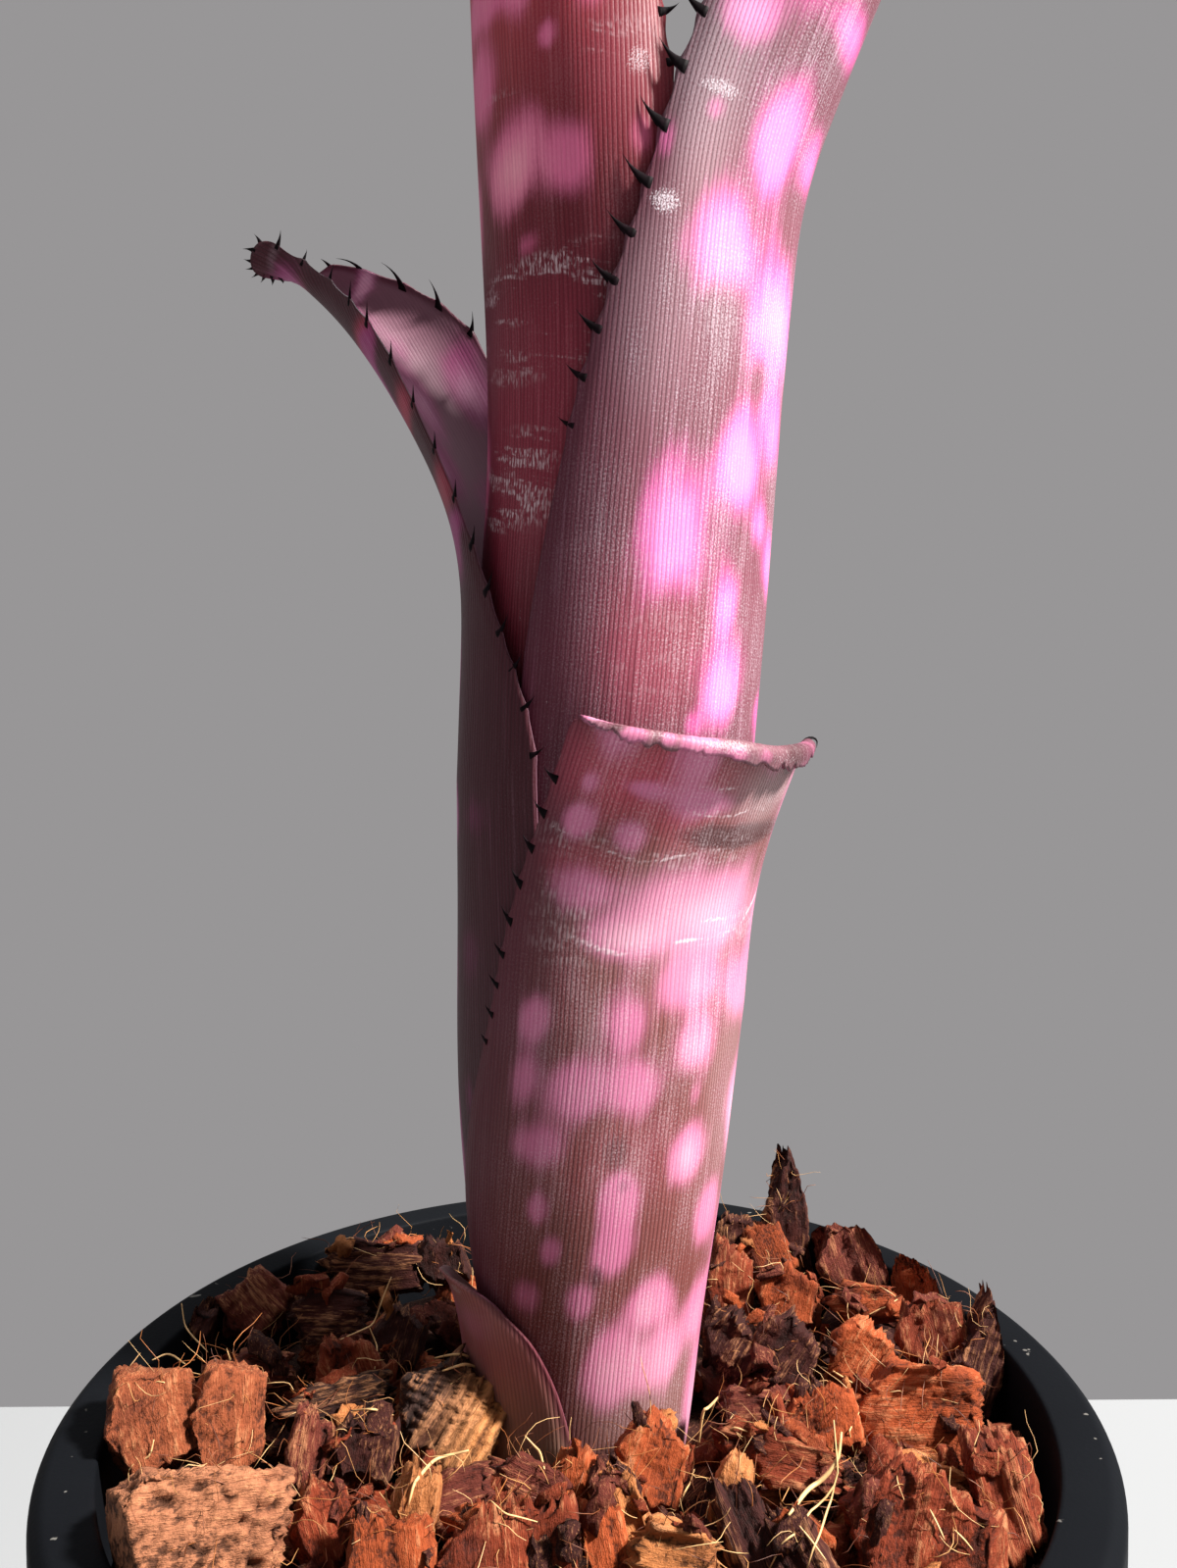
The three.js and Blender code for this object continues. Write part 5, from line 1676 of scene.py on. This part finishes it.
def crumbs(tree):
    """Small torn shards that lie on the chips and in the gaps between them."""
    random = np.random.default_rng(CRUMBS["seed"])
    noise.seed_set(CRUMBS["seed"])
    kinds = CRUMBS["kinds"]
    made = []
    for number in range(CRUMBS["count"]):
        radius = CRUMBS["disc"] * math.sqrt(random.random())
        angle = 2 * math.pi * random.random()
        x, y = radius * math.cos(angle), radius * math.sin(angle)
        length = random.uniform(*CRUMBS["length"])
        width = length * random.uniform(*CRUMBS["width"])
        thickness = width * random.uniform(*CRUMBS["thickness"])
        shard, faces = slab(width, length, thickness, seeded(number + 9))
        shard, faces = divided(shard, faces, 3)
        shift = Vector((number, 0, 0))
        shard = shard + np.array([noise.noise_vector(Vector(p) * 0.8 + shift) for p in shard])
        hit = tree.ray_cast(Vector((x, y, CRUMBS["above"])), Vector((0, 0, -1)))
        if hit[0] is None or radius > CRUMBS["reach"] or on_clean_chip(np.array(hit[0])):
            continue
        if math.hypot(x - BED_CENTRE[0], y - BED_CENTRE[1]) < CRUMBS["clear"]:
            continue
        lean = random.normal(size=3) * 0.5
        direction = unit(np.array(hit[1]) + lean)
        shard = turn_to(shard, direction, 360 * random.random()) + np.array(hit[0])
        shard[:, 2] += CRUMBS["lift"]
        tint = rgb(CHIP_COLOURS[kinds[int(random.integers(0, len(kinds)))]])
        relief = np.full(len(shard), 0.1)
        made.append((shard, faces, shard[:, [0, 2, 1]] + number, relief, tint))
    return made


def chips_piece(name, chips, material):
    """One object of many chips, with each chip's colour, grain and relief on its points."""
    points = [inside_pot(c[0]) for c in chips]
    joined_points, faces = gathered([(p, c[1].tolist()) for p, c in zip(points, chips)])
    random = np.random.default_rng(len(chips))
    tints = [
        np.broadcast_to(c[4], (len(p), 3)) * (0.85 + 0.3 * random.random())
        for p, c in zip(points, chips)
    ]
    attributes = {
        "grain": np.concatenate([c[2] for c in chips]), "tint": np.concatenate(tints),
        "relief": np.concatenate([c[3] for c in chips]),
    }
    piece = new_piece(name, joined_points, faces, [material], attributes)
    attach(piece, "root")
    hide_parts("husk_medium")
    return joined_points, faces


def make_bed(material):
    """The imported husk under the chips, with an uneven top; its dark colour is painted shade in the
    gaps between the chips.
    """
    points, faces = revolved(np.array(BED_PROFILE, float), 128)
    shift = np.array([noise.noise(Vector(p) * 0.2) for p in points]) * 1.5
    points[:, 2] += np.where(points[:, 2] > 108, np.minimum(shift, 0.4), 0)
    tint = np.repeat(rgb(BED_SHADED_COLOUR)[None], len(points), 0)
    attributes = {"grain": points[:, [0, 2, 1]], "tint": tint, "relief": np.zeros(len(points))}
    bed = new_piece("husk_bed", points, turned_out(points, faces), [material], attributes)
    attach(bed, "root")
    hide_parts("husk_medium")


def strand(path, width, around, taper):
    """A thin closed tube along a path, narrower at its ends."""
    path = np.asarray(path, float)
    tangent = unit(np.gradient(path, axis=0))
    side = unit(np.cross(tangent, (0.31, 0.17, 0.94)))
    up = np.cross(tangent, side)
    t = np.linspace(0, 1, len(path))
    radius = width / 2 * (taper + (1 - taper) * np.sin(math.pi * np.clip(t, 0.02, 0.98)) ** 0.5)
    angle = np.arange(around) * 2 * math.pi / around
    ring = side[:, None] * np.cos(angle)[None, :, None] + up[:, None] * np.sin(angle)[None, :, None]
    points = path[:, None] + ring * radius[:, None, None]
    return points.reshape(-1, 3), capped_tube(len(path), around)


def smooth_path(keys, count):
    """A smooth run of points through a few key points."""
    keys = np.asarray(keys, float)
    places = np.concatenate([[0], np.cumsum(np.linalg.norm(np.diff(keys, axis=0), axis=1))])
    at = np.linspace(0, places[-1], count)
    return np.stack([along(list(zip(places, keys[:, i])), at) for i in range(3)], 1)


def fibre_on_chips(line, tree):
    """A loose fibre through pixels, laid on the first chip that each pixel shows."""
    keys = []
    for x, y in line:
        ray = unit(ray_at(x, y))
        hit = tree.ray_cast(Vector(EYE), Vector(ray))
        reach = hit[3] if hit[0] is not None else np.linalg.norm(seen_at(x, y, CHIP_PLANE)[0] - EYE)
        keys.append((reach, ray))
    nearest = min(reach for reach, _ in keys)
    return [EYE + ray * (min(reach, nearest + 5) - 0.5) for reach, ray in keys]


def make_fibres(points, faces):
    """Loose fibres and short hairs on the chips, as one piece."""
    tree = BVHTree.FromPolygons(points.tolist(), faces)
    random = np.random.default_rng(HAIRS["seed"])
    parts, tints = [], []
    tones = np.array([rgb(text) for text in FIBRE_COLOURS])
    for line, width in LOOSE_FIBRES:
        made = strand(smooth_path(fibre_on_chips(line, tree), 16), width * FIBRE_WIDTH, 6, 0.35)
        parts.append(made)
        tints.append(np.repeat(tones[:1], len(made[0]), 0))
    normals = vertex_normals(points, faces)
    upward = np.flatnonzero((normals[:, 2] > 0.05) & (points[:, 2] > HAIRS["rooted"]))
    for i in random.choice(upward, HAIRS["count"], replace=False):
        length = random.uniform(*HAIRS["length"])
        width = random.uniform(*HAIRS["width"])
        heading = unit(random.normal(size=3) + normals[i] * 0.35)
        swing = unit(np.cross(heading, random.normal(size=3))) * length
        t = np.linspace(0, 1, 6)[:, None]
        curve = swing * (0.28 * np.sin(math.pi * t * random.uniform(0.6, 1.7)) + 0.15 * t * t)
        path = points[i] - normals[i] * 0.3 + heading * length * t + curve
        radius = np.hypot(path[:, 0], path[:, 1])
        off_centre = np.hypot(path[:, 0] - BED_CENTRE[0], path[:, 1] - BED_CENTRE[1])
        outside = radius.max() > HAIRS["reach"] or off_centre.min() < HAIRS["clear"]
        if outside or path[:, 2].min() < HAIRS["lowest"]:
            continue
        made = strand(path, width, 3, 0.2)
        parts.append(made)
        tone = tones[int(random.integers(0, len(tones)))]
        tints.append(np.repeat(tone[None], len(made[0]), 0))
    joined_points, joined_faces = gathered(parts)
    attributes = {"tint": np.concatenate(tints)}
    piece = new_piece("husk_fibres", joined_points, joined_faces, [fibre_material()], attributes)
    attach(piece, "root")
    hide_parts("husk_medium")


def make_leaf(name, leaf, spines):
    """A leaf with its spines, painted and put in place of its solid."""
    leaf["stations"] = midline(leaf)
    points, faces, both = blade_mesh(leaf)
    normals = vertex_normals(points, faces)
    masks = paint_leaf(name, leaf, points, both, normals)
    masks["blade"] = np.stack([both["q"], both["s"], both["side"]], 1)
    blade_faces = len(faces)
    parts = [(points, faces)]
    for side, distance, size in spine_places(leaf):
        some_points, some_faces = spine_mesh(leaf, side, distance, size)
        parts.append((some_points, turned_out(some_points, some_faces)))
    all_points, all_faces = gathered(parts)
    extra = len(all_points) - len(points)
    for key, values in masks.items():
        masks[key] = np.concatenate([values, np.zeros((extra, *values.shape[1:]))])
    slots = np.concatenate([np.zeros(blade_faces), np.ones(len(all_faces) - blade_faces)])
    materials = [leaf_material(name + "_blade", LEAF_LOOKS[name]), spines]
    piece = new_piece(name.replace("leaf_", "blade_"), all_points, all_faces, materials, masks, slots)
    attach(piece, "root")
    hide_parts(name)


def make_camera():
    """The photo's own viewpoint."""
    data = bpy.data.cameras.new("photo_camera")
    data.sensor_width = SENSOR
    data.lens = FOCAL * SENSOR / PHOTO_HEIGHT
    data.clip_start, data.clip_end = 0.005, 20
    camera = bpy.data.objects.new("photo_camera", data)
    bpy.context.scene.collection.objects.link(camera)
    right, down, forward = photo_axes()
    turned = Matrix(np.stack([right, -down, -forward], 1).tolist()).to_4x4()
    camera.matrix_world = Matrix.Translation(Vector(EYE * MM)) @ turned
    bpy.context.scene.camera = camera


def make_light(name, place, size, power, colour):
    data = bpy.data.lights.new(name, "AREA")
    data.shape = "DISK"
    data.size = size
    data.energy = power
    data.color = colour
    light = bpy.data.objects.new(name, data)
    light.location = place
    aim = Vector(LIGHT_TARGET) - Vector(place)
    light.rotation_euler = aim.to_track_quat("-Z", "Y").to_euler()
    bpy.context.scene.collection.objects.link(light)


def make_stage():
    """A plain pale floor like a table top, soft studio light and a plain grey surrounding."""
    reach, back, z = (FLOOR[key] / MM for key in ("reach", "back", "drop"))
    corners = [(-reach, -reach, -z), (reach, -reach, -z), (reach, back, -z), (-reach, back, -z)]
    floor = new_piece("floor", corners, [(0, 1, 2, 3)], [floor_material()])
    world = bpy.data.worlds.new("plain_grey")
    world.use_nodes = True
    world.node_tree.nodes["Background"].inputs[0].default_value = hue(SURROUND)
    world.node_tree.nodes["Background"].inputs[1].default_value = 1.0
    bpy.context.scene.world = world
    for name, settings in LIGHTS.items():
        make_light(name, *settings)
    bpy.context.scene.view_settings.view_transform = "Standard"


def main():
    make_camera()
    make_stage()
    make_pot()
    husk = husk_material()
    make_bed(husk)
    top = top_chips()
    half = len(top) // 2
    heap = [
        chips_piece("husk_chips_left", top[:half], husk),
        chips_piece("husk_chips_right", top[half:], husk),
        chips_piece("husk_chips_fill", fill_chips() + standing_chips() + front_chips(), husk),
    ]
    points, faces = gathered(heap)
    tree = BVHTree.FromPolygons(points.tolist(), faces)
    heap.append(chips_piece("husk_crumbs", crumbs(tree), husk))
    make_fibres(*gathered(heap))
    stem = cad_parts["stem"]
    stem.data.materials.clear()
    stem.data.materials.append(stem_material())
    spines = spine_material()
    for name, leaf in LEAVES.items():
        make_leaf(name, leaf, spines)


main()
